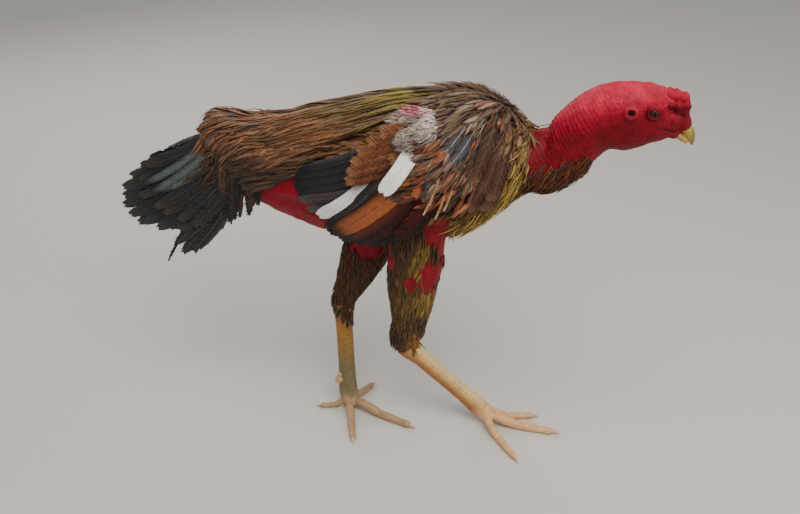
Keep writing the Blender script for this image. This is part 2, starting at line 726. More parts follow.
# %% Make both eyes
EYE_RINGS, EYE_SIDES = 40, 48
IRIS, IRIS_EDGE = rgbs("3c2412 1c0d08")
eye_gloss, tree, shader = new_material(
    "wet eye", Roughness=0.18, Specular_IOR_Level=0.15, Coat_Weight=0.08, Coat_Roughness=0.04
)
tinted(tree, shader)
for name, side_sign in (("eye_left", 1), ("eye_right", -1)):
    bm = bmesh.new()
    bmesh.ops.create_uvsphere(bm, u_segments=EYE_SIDES, v_segments=EYE_RINGS, radius=EYE_RADIUS)
    gaze = Vector((0.12, 0.98 * side_sign, 0.08)).to_track_quat("Z", "Y").to_matrix().to_4x4()
    polar = [math.acos(max(-1.0, min(1.0, v.co.z / EYE_RADIUS))) for v in bm.verts]
    spin_angle = [math.atan2(v.co.y, v.co.x) for v in bm.verts]
    for v, angle in zip(bm.verts, polar):
        v.co *= 1 + 0.03 * math.exp(-((angle / 0.45) ** 2))
    there = Matrix.Translation(place(*EYE * (1, side_sign, 1)))
    bmesh.ops.transform(bm, matrix=there @ gaze, verts=bm.verts[:])
    mesh = bpy.data.meshes.new(name + "_ball")
    bm.to_mesh(mesh)
    bm.free()
    polar, spin_angle = np.array(polar), np.array(spin_angle)
    streak = 0.85 + 0.15 * np.sin(spin_angle * 23) * np.sin(spin_angle * 9)
    inside, outside = smooth_step(0.62, 0.50, polar)[:, None], smooth_step(0.5, 0.62, polar)[:, None]
    colour = IRIS * streak[:, None] * inside + IRIS_EDGE * outside
    colour *= smooth_step(0.25, 0.31, polar)[:, None]
    set_colour(mesh, "tint", colour + 0.002)
    finish_piece(name + "_ball", mesh, eye_gloss, "eye", [name])
print("eyes made")

# %% [markdown]
# ## Comb
# The pea comb is a low cluster of fleshy knobs. It could be sculpted knob by knob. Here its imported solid
# and a few balls are remeshed finely, because the knobs then run into each other as flesh does, and fine
# noise gives the pebbled surface. The lower knobs are a dark, full red.

# %% Shape the comb
COMB_MIDDLE, COMB_SHARE = Vector(HOME) + Vector((0.2970, 0, 0.4500)), (1.0, 0.88, 0.80)
COMB_VOXEL, PEBBLE = 0.0008, 0.00028
# Knobs that swell the comb: forward, half the distance between the two sides, up, and radius.
COMB_KNOBS = [
    (0.2925, 0.0045, 0.4718, 0.0055), (0.3005, 0.0020, 0.4700, 0.0058), (0.2950, 0.0085, 0.4630, 0.0052),
    (0.3035, 0.0055, 0.4620, 0.0052), (0.3030, 0.0070, 0.4560, 0.0046), (0.2860, 0.0060, 0.4735, 0.0045),
]
bm = joined_copies(["comb"])
bmesh.ops.scale(bm, vec=COMB_SHARE, space=Matrix.Translation(-COMB_MIDDLE), verts=bm.verts[:])
add_balls(bm, COMB_KNOBS)
comb = remeshed("comb_flesh", bm, COMB_VOXEL, 10)
spot = points_of(comb) - HOME
out = normals_of(comb)
pebbles = PEBBLE * (1 - 2 * np.abs(noise(spot, 0.0020, 21))) + 0.00015 * noise(spot, 0.0009, 22)
set_points(comb, spot + HOME + out * pebbles[:, None])
comb_red = skin_colour(spot) * np.array((0.9, 0.75, 0.8)) * (1 + 0.25 * noise(spot, 0.004, 23))[:, None]
comb_red *= 1 - 0.5 * smooth_step(0.4715, 0.4620, spot[:, 2:]) * smooth_step(0.452, 0.457, spot[:, 2:])
set_colour(comb, "tint", comb_red)
finish_piece("comb_flesh", comb, skin_paint, "comb", ["comb"])
print("comb faces:", len(comb.polygons))

# %% [markdown]
# ## Bill
# The bill is horn: a smooth, slightly layered shell, ochre with a browner root and a darker, worn tip. It
# could be built again from curves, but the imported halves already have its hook, so copies of them are
# remeshed. A few balls fill the lower half up to the upper one, so the bill is shut.

# %% Make the horn and the bill
HORN_LAYER, HORN_VOXEL = 0.004, 0.0006
horn, tree, shader = new_material("growing horn", Roughness=0.3, Coat_Weight=0.3, Coat_Roughness=0.15)
here = add(tree, "TexCoord").outputs["Object"]
layers = add(tree, "TexNoise", {"Vector": here, "Scale": 1 / HORN_LAYER, "Detail": 6.0})
worn = add(tree, "MapRange", {"Value": layers.outputs["Fac"], "To Min": 0.8, "To Max": 1.15})
tinted(tree, shader, worn.outputs[0])
bumped(tree, shader, layers.outputs["Fac"], 0.3, 0.0003)
BILL_ROOT_X, BILL_TIP_X = 0.290, 0.316
BILL_TONE, BILL_ROOT_TONE = rgbs("b09038 8a6420")
# Balls that close the bill: forward, up and radius.
BILL_FILLERS = [(0.3000, 0.4315, 0.0036), (0.3030, 0.4290, 0.0036), (0.3058, 0.4262, 0.0032),
                (0.3082, 0.4292, 0.0028), (0.3100, 0.4260, 0.0028), (0.3112, 0.4226, 0.0024)]
for node, fillers in (("bill_upper", ()), ("bill_lower", BILL_FILLERS)):
    bm = joined_copies([node])
    for forward, up, radius in fillers:
        add_ball(bm, place(forward, 0, up), radius)
    mesh = remeshed(node + "_horn", bm, HORN_VOXEL, 8)
    spot = points_of(mesh) - HOME
    root = smooth_step(BILL_TIP_X, BILL_ROOT_X, spot[:, 0])[:, None]
    colour = BILL_TONE * (1 - root) + BILL_ROOT_TONE * root
    colour = colour * (1 - 0.55 * smooth_step(0.3115, 0.3165, spot[:, :1]))
    set_colour(mesh, "tint", colour)
    finish_piece(node + "_horn", mesh, horn, "bill_horn", [node])
print("bill halves made")

# %% [markdown]
# ## Claws and spurs
# Claws are small curved horns. New cones could be bent for them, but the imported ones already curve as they
# should, so they are remeshed at under half a millimetre. The direction of each one is measured, since the
# toe's skin has to reach a little over its root. The spurs are low stumps, swollen by two balls each.

# %% Make the claws and the spurs
CLAW_VOXEL = 0.0004
CLAW_TONE, SPUR_TONE = rgbs("c6a680 b08e5c")
# Balls that swell a spur: their places from its middle, and radius.
SPUR_SWELL = [((0, 0, 0), 0.0058), ((0.0012, 0, 0.0082), 0.0036)]
claw_nodes = [name for name in sorted(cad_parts) if name.startswith("claw_")]
claws = remeshed("claws", joined_copies(claw_nodes), CLAW_VOXEL, 3)
claw_lines = {}
for name in claw_nodes:
    spot = points_of(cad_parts[name].data)
    foot_spot = points_of(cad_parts["foot_" + name.split("_")[1]].data).mean(axis=0)
    reach = np.linalg.norm(spot - foot_spot, axis=1)
    root = spot[reach < reach.min() + 0.002].mean(axis=0)
    claw_lines[name] = root, unit(spot[reach.argmax()] - root)
set_colour(claws, "tint", np.tile(CLAW_TONE, (len(claws.vertices), 1)))
finish_piece("claws_horn", claws, horn, "claw_horn", claw_nodes)
spur_nodes = ["spur_left", "spur_right"]
bm = joined_copies(spur_nodes)
for name in spur_nodes:
    spot = points_of(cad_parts[name].data).mean(axis=0)
    for beside, radius in SPUR_SWELL:
        add_ball(bm, spot + beside, radius)
spurs = remeshed("spurs", bm, HORN_VOXEL, 4)
set_colour(spurs, "tint", np.tile(SPUR_TONE, (len(spurs.vertices), 1)))
finish_piece("spurs_horn", spurs, horn, "claw_horn", spur_nodes)
print("claws:", len(claw_nodes), "spurs:", len(spur_nodes))

# %% [markdown]
# ## The legs' material
# Shank and toes are covered in horny scales, dry and slightly glossy. The net of small scales between the
# plates is about two millimetres wide. It is too fine to be worth its own mesh, so it is a pattern of cells
# whose borders are darker and lower.

# %% Make the legs' material
SCALE, GRIT = 0.0019, 0.0012
leg_skin, tree, shader = new_material(
    "horny leg scale", Roughness=0.42, Specular_IOR_Level=0.4, Coat_Weight=0.08
)
here = add(tree, "TexCoord").outputs["Object"]
grit = add(tree, "TexNoise", {"Vector": here, "Scale": 1 / GRIT, "Detail": 5.0})
cells = add(tree, "TexVoronoi", {"Vector": here, "Scale": 1 / SCALE}, feature="DISTANCE_TO_EDGE")
shades = {"From Max": 0.12, "To Min": 0.72, "To Max": 1.04}
line = add(tree, "MapRange", {"Value": cells.outputs["Distance"], **shades})
tinted(tree, shader, line.outputs[0])
height = add(tree, "Math", {0: line.outputs[0], 1: grit.outputs["Fac"]}, operation="ADD")
bumped(tree, shader, height.outputs[0], 0.3, 0.0005)
print("leg material:", leg_skin.name)

# %% [markdown]
# ## The legs' colours
# The two legs differ in the photograph. The leading one is cream with a warmer underside, and the one
# behind is ochre above and grey-green below, where mud has dried on it. Two materials would meet in a hard
# border, so the tones are mixed along the shank and across it, and both legs get lighter towards the foot.

# %% Name the legs' lines and their colours
# Each leg: the hock and the middle of the foot, which give the line of the shank.
LEGS = {
    "left": ((-0.083, 0.022, 0.146), (-0.069, -0.014, 0.0112)),
    "right": ((0.0135, -0.022, 0.121), (0.1165, -0.008, 0.0185)),
}
CREAM, UNDERSIDE, CREAM_FOOT = rgbs("e0bc78 a2622c d8a672")
HOCK, OCHRE, MUDDY, OCHRE_FOOT = rgbs("86583c 966826 6e6240 a8865f")


def leg_colour(side, spot, t):
    """Cream on the leading leg with a warmer underside, and ochre over grey-green on the one behind."""
    if side == "right":
        share = smooth_step(-0.2, 0.8, (spot[:, 0] - (0.0135 + 0.103 * np.clip(t, 0, 1))) / 0.012)[:, None]
        colour = UNDERSIDE * (1 - share) + CREAM * share
        foot = CREAM_FOOT
    else:
        share, upper = smooth_step(0.30, 0.7, t)[:, None], smooth_step(0.24, 0.10, t)[:, None]
        colour = (OCHRE * (1 - share) + MUDDY * share) * (1 - upper) + HOCK * upper
        foot = OCHRE_FOOT
    on_foot = smooth_step(0.86, 1.02, t)[:, None]
    colour = colour * (1 - on_foot) + foot * on_foot
    uneven = 1 + 0.14 * noise(spot, 0.007, 31) + 0.10 * noise(spot, 0.002, 32)
    return np.clip(colour * uneven[:, None], 0.003, 1)


print("colours for the legs:", len(LEGS))

# %% [markdown]
# ## Scaled legs
# A row of broad plates runs down the front of the shank and along the top of each toe. They could be
# separate shells, but real plates are folds of one skin. So each leg is one remeshed surface at about a
# millimetre, and every plate is raised between grooves by a formula along the bone. Small balls at the
# toes' ends draw the skin over the claws' roots.

# %% Shape and paint both legs
LEG_VOXEL, PLATE, PLATE_RISE, TOE_PLATE, TOE_RISE, BEAD = 0.0011, 0.0062, 0.0006, 0.0042, 0.00045, 0.00018
# Balls over each claw's root: how far along it, and radius.
CLAW_BED = [(0.0004, 0.0031), (0.0022, 0.0026), (0.0040, 0.0020)]
for side_name, (hock, pad) in LEGS.items():
    nodes = [name for name in sorted(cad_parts) if f"_{side_name}" in name]
    nodes = [name for name in nodes if name.startswith(("shank_", "foot_", "toe_"))]
    bm = joined_copies(nodes)
    for name, (root, ahead) in claw_lines.items():
        if side_name in name:
            for step, radius in CLAW_BED:
                add_ball(bm, root + ahead * step, radius, 16)
    mesh = remeshed(f"leg_{side_name}", bm, LEG_VOXEL, 3)
    spot = points_of(mesh) - HOME
    out = normals_of(mesh)
    hock, pad = np.array(hock), np.array(pad)
    bone = (pad - hock) / np.linalg.norm(pad - hock)
    t = (spot - hock) @ bone / np.linalg.norm(pad - hock)
    front = np.array((1.0, 0, 0)) - bone * bone[0]
    front /= np.linalg.norm(front)
    on_front = smooth_step(0.15, 0.6, out @ front) * smooth_step(1.0, 0.93, t)
    edge = ((spot - hock) @ bone / PLATE) % 1.0
    plates = PLATE_RISE * on_front * (smooth_step(0.0, 0.14, edge) - 0.45 * edge - 0.5)
    from_pad = np.linalg.norm((spot - pad)[:, :2], axis=1)
    toe_edge = (from_pad / TOE_PLATE) % 1.0
    on_toe = smooth_step(0.013, 0.018, from_pad) * smooth_step(0.2, 0.7, out[:, 2]) * (t > 0.9)
    plates += TOE_RISE * on_toe * (smooth_step(0.0, 0.18, toe_edge) - 0.5)
    beads = BEAD * (1 - on_front) * (1 - 2 * np.abs(noise(spot, 0.0030, 33)))
    moved = spot + out * (plates + beads * (spot[:, 2] > 0.002))[:, None]
    moved[:, 2] = np.maximum(moved[:, 2], 0.0)
    set_points(mesh, moved + HOME)
    seam = 1 - 0.35 * (on_front * (edge < 0.12))
    set_colour(mesh, "tint", leg_colour(side_name, spot, t) * seam[:, None])
    finish_piece(f"leg_{side_name}", mesh, leg_skin, "leg_scale", nodes)
    print("leg", side_name, len(mesh.polygons))

# %% [markdown]
# ## How a feather is built
# A feather could be a flat card with a cut-out picture, or a hair. A card looks like paper from the side,
# and a hair has no vane. So a small feather is one thin closed strip with four points round a section: two
# edges, the raised shaft above and the hollow below. It has to follow the body, so its path is walked over
# a surface: a step along the feather's heading, back to the nearest place on the surface, and on from
# there.

# %% Walk along a surface
SEED = 41
draw = np.random.default_rng(SEED)


def surface_of(mesh):
    """A mesh as a search tree and as triangle corners, both measured from the shifted origin."""
    mesh.calc_loop_triangles()
    picks = np.empty(len(mesh.loop_triangles) * 3, dtype=np.int64)
    mesh.loop_triangles.foreach_get("vertices", picks)
    points, picks = points_of(mesh) - HOME, picks.reshape(-1, 3)
    return BVHTree.FromPolygons(points.tolist(), picks.tolist()), points[picks]


def nearest(points, tree):
    """For each point the nearest place on a surface and the normal there."""
    found = [tree.find_nearest(Vector(point))[:2] for point in points]
    return np.array([spot for spot, _ in found]), np.array([normal for _, normal in found])


def walk(tree, roots, flows, lengths, rows, hug):
    """Paths that run from roots with the flows over a surface. hug is how closely they keep to it."""
    spots, normals = nearest(roots, tree)
    heading = unit(flows - (flows * normals).sum(axis=1, keepdims=True) * normals)
    path, facing_up = [spots], [normals]
    for _ in range(rows):
        free = path[-1] + heading * (lengths / rows)[:, None]
        spots, found = nearest(free, tree)
        path.append(free * (1 - hug) + spots * hug)
        up = unit(facing_up[-1] * (1 - hug) + found * hug)
        facing_up.append(up)
        heading = unit(heading - (heading * up).sum(axis=1, keepdims=True) * up)
    return np.stack(path, axis=1), np.stack(facing_up, axis=1)


print("random numbers start from", SEED)

# %% [markdown]
# ## From paths to meshes
# Thousands of feathers made one by one with operators would take very long. So each layer is one mesh, laid
# out with whole arrays at once. Each point carries its colour, so shaft, edge and tip can differ. One map
# holds distances on the feather, for the vane's pattern, and another, for baking, has a small patch for
# each feather on the body's unwrap where its root stands.

# %% Turn rings of points into one mesh
PATCH = 0.003
VANE_UNITS = 10  # units of the vane's map in a metre


def sheet(name, rings, across, along, colours, surface, slot, nodes=()):
    """One mesh of closed forms, each a row of rings. across and along are real distances on the form."""
    count, rows, size = rings.shape[:3]
    rings[..., 2] = np.maximum(rings[..., 2], 0.0005)
    points = rings.reshape(-1, 3)
    index = np.arange(len(points)).reshape(count, rows, size)
    faces = []
    for j in range(size):
        k = (j + 1) % size
        corners = index[:, :-1, j], index[:, :-1, k], index[:, 1:, k], index[:, 1:, j]
        faces.append(np.stack(corners, axis=-1))
    faces = [quads.reshape(-1, 4) for quads in faces]
    for j in range(size // 2 - 1):
        cap = [j, j + 1, size - 2 - j, size - 1 - j]
        faces += [index[:, 0, cap[::-1]], index[:, -1, cap]]
    faces = np.concatenate(faces)
    mesh = bpy.data.meshes.new(name)
    mesh.vertices.add(len(points))
    mesh.loops.add(faces.size)
    mesh.polygons.add(len(faces))
    mesh.vertices.foreach_set("co", (points + HOME).astype(np.float32).ravel())
    mesh.polygons.foreach_set("loop_start", np.arange(len(faces)) * 4)
    mesh.loops.foreach_set("vertex_index", faces.ravel())
    mesh.update(calc_edges=True)
    corner = points[faces]
    area = np.cross(corner[:, 2] - corner[:, 0], corner[:, 3] - corner[:, 1])
    if (area * corner.mean(axis=1)).sum() < 0:
        mesh.flip_normals()
    set_colour(mesh, "tint", np.clip(colours, 0.001, 1).reshape(-1, 3))
    shift = draw.random(count)[:, None, None]
    along = along[:, :, None] + np.zeros(size)
    real = np.stack([across, along + shift], axis=-1).reshape(-1, 2) * VANE_UNITS
    corner_points = corners_of(mesh)
    write_map(mesh, "vane", real[corner_points])
    share = along / np.maximum(along[:, -1:, :], 1e-6) - 0.5
    spread = across / np.maximum(np.abs(across).max(axis=(1, 2), keepdims=True), 1e-6) / 2
    root = rings[:, 0].mean(axis=1)
    patch = unwrap(root)[:, None, None, :] + PATCH * np.stack([spread, share], axis=-1)
    write_map(mesh, "OFBake", np.clip(patch, 0.001, 0.999).reshape(-1, 2)[corner_points])
    finish_piece(name, mesh, surface, slot, nodes)
    print(name, "forms:", count, "triangles:", 2 * len(faces))


print("size of a feather's patch on the map:", PATCH)

# %% [markdown]
# ## Thin strips
# Every small feather, loose barb and shaft is a strip: a path with a flat diamond for its section. The
# section's sides droop a little, so that the strip catches the light along its middle as a shaft does.


# %% Turn paths into strips
def strips(name, path, up, widths, colours, surface, slot, nodes=(), thickness=0.00035, droop=0.25):
    """Many thin strips. path, up and widths run over strips and rows, colours also over the section."""
    ahead = unit(np.gradient(path, axis=1))
    up = unit(up - (up * ahead).sum(axis=2, keepdims=True) * ahead)
    aside = np.cross(up, ahead) * (widths / 2)[:, :, None]
    down = up * (widths / 2 * droop)[:, :, None]
    thick = up * np.minimum(thickness, widths * 0.4)[:, :, None]
    rings = np.stack([path - aside - down, path + thick, path + aside - down, path - thick], axis=2)
    steps = np.linalg.norm(np.diff(path, axis=1), axis=2).cumsum(axis=1)
    along = np.concatenate([np.zeros((len(path), 1)), steps], axis=1)
    across = np.stack([-widths / 2, widths * 0, widths / 2, widths * 0], axis=2)
    sheet(name, rings, across, along, colours, surface, slot, nodes)


print("helpers for strips ready")

# %% [markdown]
# ## Feather material
# A vane is made of barbs, fine ribs that leave the shaft at a slant and hook together. They give it slanted
# streaks and a soft sheen. The strip's own map holds real distances across and along it, so the ribs come
# from a sine of along minus across, at a spacing that is drawn coarser than the real 0.3 mm, so that it
# shows.

# %% Make the feather materials
BARB_SPACING, BARB_SLANT = 0.0011, 1.1


def feather_material(name, roughness, sheen, streak, coat=0.0):
    """A vane's material. streak is how far the light and dark streaks go from the tint."""
    plain = dict(Roughness=roughness, Coat_Weight=coat, Specular_IOR_Level=0.22)
    made, tree, shader = new_material(name, **plain, Sheen_Weight=sheen, Sheen_Roughness=0.4)
    vane = add(tree, "UVMap", uv_map="vane")
    parts = add(tree, "SeparateXYZ", {0: vane.outputs[0]})
    away = add(tree, "Math", {0: parts.outputs[0]}, operation="ABSOLUTE")
    slanted = {0: away.outputs[0], 1: -BARB_SLANT, 2: parts.outputs[1]}
    slant = add(tree, "Math", slanted, operation="MULTIPLY_ADD")
    per_barb = math.tau / (BARB_SPACING * VANE_UNITS)
    phase = add(tree, "Math", {0: slant.outputs[0], 1: per_barb}, operation="MULTIPLY")
    ribs = add(tree, "Math", {0: phase.outputs[0]}, operation="SINE")
    stretched = add(tree, "CombineXYZ", {0: parts.outputs[0], 1: slant.outputs[0]})
    where = {"Vector": stretched.outputs[0], "Scale": 45.0, "Detail": 3.0}
    splits = add(tree, "TexNoise", where, noise_dimensions="2D")
    spread = {"From Min": 0.3, "From Max": 0.7, "To Min": 1 - streak, "To Max": 1 + streak}
    tone = add(tree, "MapRange", {"Value": splits.outputs["Fac"], **spread})
    ribbed = {0: ribs.outputs[0], 1: streak * 0.4, 2: tone.outputs[0]}
    tone = add(tree, "Math", ribbed, operation="MULTIPLY_ADD")
    tinted(tree, shader, tone.outputs[0])
    bumped(tree, shader, ribs.outputs[0], 0.25, 0.0002)
    return made


soft_vane = feather_material("soft body vane", 0.62, 0.08, 0.28)
hackle_vane = feather_material("silky hackle vane", 0.48, 0.08, 0.30)
flight_vane = feather_material("stiff flight vane", 0.55, 0.0, 0.20)
tail_vane = feather_material("glossy tail vane", 0.40, 0.10, 0.22, 0.08)
down = feather_material("loose down", 0.85, 0.30, 0.12)
# The coats are materials with their slots.
PLUMAGE, COVERT, DOWN = (soft_vane, "plumage"), (soft_vane, "wing_feather"), (down, "plumage")
HACKLE = hackle_vane, "saddle_feather"
print("feather materials: 5")

# %% [markdown]
# ## Three surfaces to grow on
# Body feathers grow on the skin. The cape and the saddle's long hackles lie over wings and tail, so they
# grow on an outer surface of all those solids, softened over the back. Thigh feathers grow on the thighs
# and shanks together, so that they run over the hock without a step.

# %% Make the three surfaces
OUTER_VOXEL, LIMB_VOXEL = 0.0040, 0.0034
SKIN = surface_of(skin)
outer = remeshed("outer", joined_copies(FLESH + ["wing_left", "wing_right", "tail"]), OUTER_VOXEL, 8)
soften(outer, lambda p: (p[:, 0] < HOME[0] + 0.03) & (p[:, 2] > 0.395), 16)
OUTER = surface_of(outer)
bpy.data.meshes.remove(outer)
shank_nodes = ["shank_left", "shank_right"]
limbs = remeshed("limbs", joined_copies(FLESH + shank_nodes), LIMB_VOXEL, 6)
inset = THIGH_DEPTH * smooth_step(0.140, 0.165, points_of(limbs)[:, 2:])
set_points(limbs, points_of(limbs) - normals_of(limbs) * inset)
LIMBS = surface_of(limbs)
bpy.data.meshes.remove(limbs)
print("triangles to grow on:", len(SKIN[1]), len(OUTER[1]), len(LIMBS[1]))

# %% [markdown]
# ## Roots
# Roots that are only drawn at random clump in some places and leave holes in others. So they are drawn
# evenly over a surface and thinned until no two stand closer than the feathers' spacing. Only near ones are
# compared, with the help of a grid of cells as large as the spacing.


# %% Draw roots
def roots_where(surface, density, spacing, tries):
    """Even random roots on a surface. density(points) gives the chance, from 0 to 1, that a root stays."""
    _, corners = surface
    area = np.linalg.norm(np.cross(corners[:, 1] - corners[:, 0], corners[:, 2] - corners[:, 0]), axis=1)
    weight = area * (density(corners.mean(axis=1)) > 0)
    chosen = corners[draw.choice(len(weight), size=tries, p=weight / weight.sum())]
    a, b = draw.random((2, tries, 1))
    over = a + b > 1
    a, b = np.where(over, 1 - a, a), np.where(over, 1 - b, b)
    points = chosen[:, 0] + (chosen[:, 1] - chosen[:, 0]) * a + (chosen[:, 2] - chosen[:, 0]) * b
    points = points[draw.random(tries) < density(points)]
    kept, cells = [], {}
    near_cells = [(i, j, k) for i in (-1, 0, 1) for j in (-1, 0, 1) for k in (-1, 0, 1)]
    for point, key in zip(points.tolist(), (points // spacing).astype(int).tolist()):
        around = (cells.get((key[0] + i, key[1] + j, key[2] + k), ()) for i, j, k in near_cells)
        if all(math.dist(point, other) > spacing for cell in around for other in cell):
            kept.append(point)
            cells.setdefault(tuple(key), []).append(point)
    return np.array(kept)


print("surfaces for roots: 3")

# %% [markdown]
# ## Directions
# Feathers point away from the neck: back over the spine, down over the shoulders and the breast, down the
# thighs and the rump. They could be combed by hand. Five directions that blend between regions were chosen,
# because each is one row that can be corrected. Each feather strays from them a little.

# %% Name the directions
# On the back, the shoulder, the breast, the thigh and the rump: ahead, outward and up.
LIES = [(-1, 0.16, -0.24), (-0.62, 0.25, -0.80), (-0.55, 0.10, -0.90), (-0.12, 0, -1), (-0.72, 0.04, -0.70)]


def on_thighs(points):
    """1 on the thighs, which reach up into the trunk's side."""
    x, _, z = points.T
    hip = smooth_step(-0.045, -0.030, x) * smooth_step(0.085, 0.072, x)
    top = np.where(x > 0.020, 0.350, 0.322)
    thigh = np.maximum(smooth_step(0.275, 0.258, z), hip * smooth_step(top, top - 0.014, z))
    return thigh * smooth_step(-0.125, -0.110, x)


def lie(points, spread=0.14):
    """The way feathers lie at points: back along the spine, and down the shoulders, breast and thighs."""
    x, y, z = points.T
    side = np.sign(y)
    flat = np.zeros_like(x)
    back, shoulder, breast, thigh, rump = (
        np.stack([flat + ahead, side * out, flat + rise], axis=1) for ahead, out, rise in LIES
    )
    to_shoulder = (smooth_step(0.02, 0.09, x) * smooth_step(0.472, 0.445, z))[:, None]
    to_breast = smooth_step(0.105, 0.135, x)[:, None]
    to_thigh = on_thighs(points)[:, None]
    to_rump = (smooth_step(-0.125, -0.185, x) * smooth_step(0.425, 0.400, z))[:, None]
    flow = back * (1 - to_rump) + rump * to_rump
    flow = flow * (1 - to_shoulder) + shoulder * to_shoulder
    flow = flow * (1 - to_breast) + breast * to_breast
    flow = flow * (1 - to_thigh) + thigh * to_thigh
    return unit(flow + draw.normal(0, spread, points.shape))


def box_of(points, low, high, soft=0.006):
    """1 inside a range of forward and up values, with soft borders."""
    cover = 1.0
    for axis, a, b in ((0, low[0], high[0]), (2, low[1], high[1])):
        v = points[:, axis]
        cover = cover * smooth_step(a - soft, a + soft, v) * smooth_step(b + soft, b - soft, v)
    return cover


print("regions of direction:", len(LIES))

# %% [markdown]
# ## A layer of small feathers
# A small feather is one curved strip, since thousands of them are needed. It follows the body, then lifts
# off towards its end. Each varies a little in length, width, tone and tilt, and one whose end would stand
# off the body is shortened. One function grows every layer, and the layers differ in its settings.

# %% Grow a layer of small feathers
# Half widths along a feather, from root to tip: a round one, a lance and a thin strand.
ROUND = np.array((0.35, 0.72, 0.95, 1.0, 0.95, 0.72, 0.14))
LANCE = np.array((0.55, 0.85, 1.0, 0.97, 0.84, 0.66, 0.46, 0.26, 0.06))
STRAND = np.array((0.9, 1.0, 0.92, 0.78, 0.6, 0.4, 0.12))
PALE = rgb("8f7856")
STRAY = 0.0070  # a feather whose end stands farther off than this is shortened
ROOT_SINK = 0.0012  # how deep a root stands under the surface
SIZE_SPREAD, TONE_SPREAD, LEAN = 0.16, 0.17, 0.22


def at_roots(value, roots):
    """A number, or a function's numbers at the roots."""
    return value(roots) if callable(value) else value


def grow(name, surface, cover, spacing, tries, length, width, lift, outline, coat, tone, gain=1.0, hug=0.9,
         spread=0.14, pale=0.3, tip=0.2, edge=0.72, stray=STRAY, shaded=0.6):
    """A layer of one-strip feathers where cover(points) allows them, tried so many times at a spacing.

    tone(roots) gives their colours, times gain. hug is how closely they follow the surface, spread how
    much their directions differ. pale and tip lighten the shaft and the tip. edge and shaded darken the
    edges and the root.
    """
    roots = roots_where(surface, cover, spacing, tries)
    count, rows = len(roots), len(outline)
    size = np.exp(draw.normal(0, SIZE_SPREAD, count))
    lengths = at_roots(length, roots) * size
    path, up = walk(surface[0], roots, lie(roots, spread), lengths, rows - 1, hug)
    astray = np.linalg.norm(path[:, -1] - nearest(path[:, -1], surface[0])[0], axis=1) > stray
    path = np.where(astray[:, None, None], path[:, :1] + 0.4 * (path - path[:, :1]), path)
    lean = draw.normal(0, LEAN, (count, 1, 1))
    up = unit(up + np.cross(up, unit(np.gradient(path, axis=1))) * lean)
    s = np.linspace(0, 1, rows)
    rise = (at_roots(lift, roots) * draw.uniform(0.5, 1.4, count))[:, None]
    arch = np.sin(np.pi / 2 * np.clip(s * 1.2, 0, 1))
    path = path + up * (-ROOT_SINK + (rise + ROOT_SINK) * arch)[:, :, None]
    widths = (width * size * draw.uniform(0.8, 1.2, count))[:, None] * outline
    base = tone(roots) * gain * np.exp(draw.normal(0, TONE_SPREAD, (count, 1)))
    base = base * (1 + draw.normal(0, 0.04, (count, 3)))
    shaft = base * (1 - pale) + PALE * pale
    light = base + (PALE - base) * np.clip(tip * draw.uniform(0.2, 1.6, (count, 1)), 0, 1)
    to_tip = smooth_step(0.6, 1.0, s)[None, :, None]
    shade = (1 - shaded * smooth_step(0.45, 0.0, s))[None, :, None]
    edge, shaft, under = (
        (part[:, None, :] * (1 - to_tip) + light[:, None, :] * to_tip) * shade
        for part in (base * edge, shaft, base * 0.6)
    )
    strips(name, path, up, widths, np.stack([edge, shaft, edge, under], axis=2), *coat)


print("outlines of", len(ROUND), len(LANCE), len(STRAND), "rows")

# %% [markdown]
# ## Trunk and rump
# The trunk's contour feathers overlap like shingles. They are short and round on the breast and longer on
# the shoulders. Over them goes a layer of narrow strands, the loose barbs that make this worn plumage look
# shaggy. Dark brown ones hang between the flank and the tail.

# %% Cover the trunk and the rump
DUSK = rgbs("2a1e18 3a281c 1c1512 523722")


def trunk_cover(rear):
    """A cover function: 1 where body feathers grow, 0 behind rear, on bare skin and on the neck."""

    def cover(points):
        x, _, z = points.T
        flank = smooth_step(-0.175, -0.160, x) * smooth_step(-0.022, -0.040, x)
        flank = flank * smooth_step(0.375, 0.355, z)
        side = smooth_step(-0.075, -0.060, x) + smooth_step(0.395, 0.405, z)
        ahead = smooth_step(0.150, 0.142, x) * (z > LEG_TOP) * (x > np.where(z > 0.41, -0.02, rear))
        return ahead * (1 - flank) * np.clip(side, 0, 1) * (1 - on_thighs(points))

    return cover


def rump_cover(points):
    """The dark feathers that hang between the flank and the tail."""
    x, _, z = points.T
    low = 0.290 + 0.022 * smooth_step(-0.194, -0.172, x)
    high = smooth_step(0.388, 0.375, z)
    return smooth_step(-0.166, -0.176, x) * (x > -0.240) * smooth_step(low, low + 0.015, z) * high


def trunk_length(points):
    return 0.020 + 0.010 * smooth_step(0.03, 0.09, points[:, 0]) * smooth_step(0.37, 0.42, points[:, 2])


def turns(tones):
    """A tone function that takes random turns through a list."""
    return lambda points: tones[draw.integers(0, len(tones), len(points))]


grow("trunk_feathers", SKIN, trunk_cover(-0.10), 0.0050, 28000, trunk_length, 0.0062, 0.0038,
     ROUND, PLUMAGE, feather_colour)
grow("rump_feathers", SKIN, rump_cover, 0.0060, 6000, 0.034, 0.0062, 0.0036,
     LANCE, PLUMAGE, turns(DUSK), hug=0.45, pale=0.05, tip=0.05, stray=0.060)
grow("trunk_strands", SKIN, trunk_cover(-0.06), 0.0040, 34000, trunk_length, 0.0015, 0.0052,
     STRAND, PLUMAGE, feather_colour, gain=1.2, hug=0.85, spread=0.22, tip=0.35)

# %% [markdown]
# ## Thighs
# The thighs wear short, narrow feathers in dark olive and brown, worn away in spots where the red skin
# shows. The spots are soft ellipses with a ragged edge from noise, drawn out downward as feathers lie.
# Below the hock the feathers end in an uneven line.

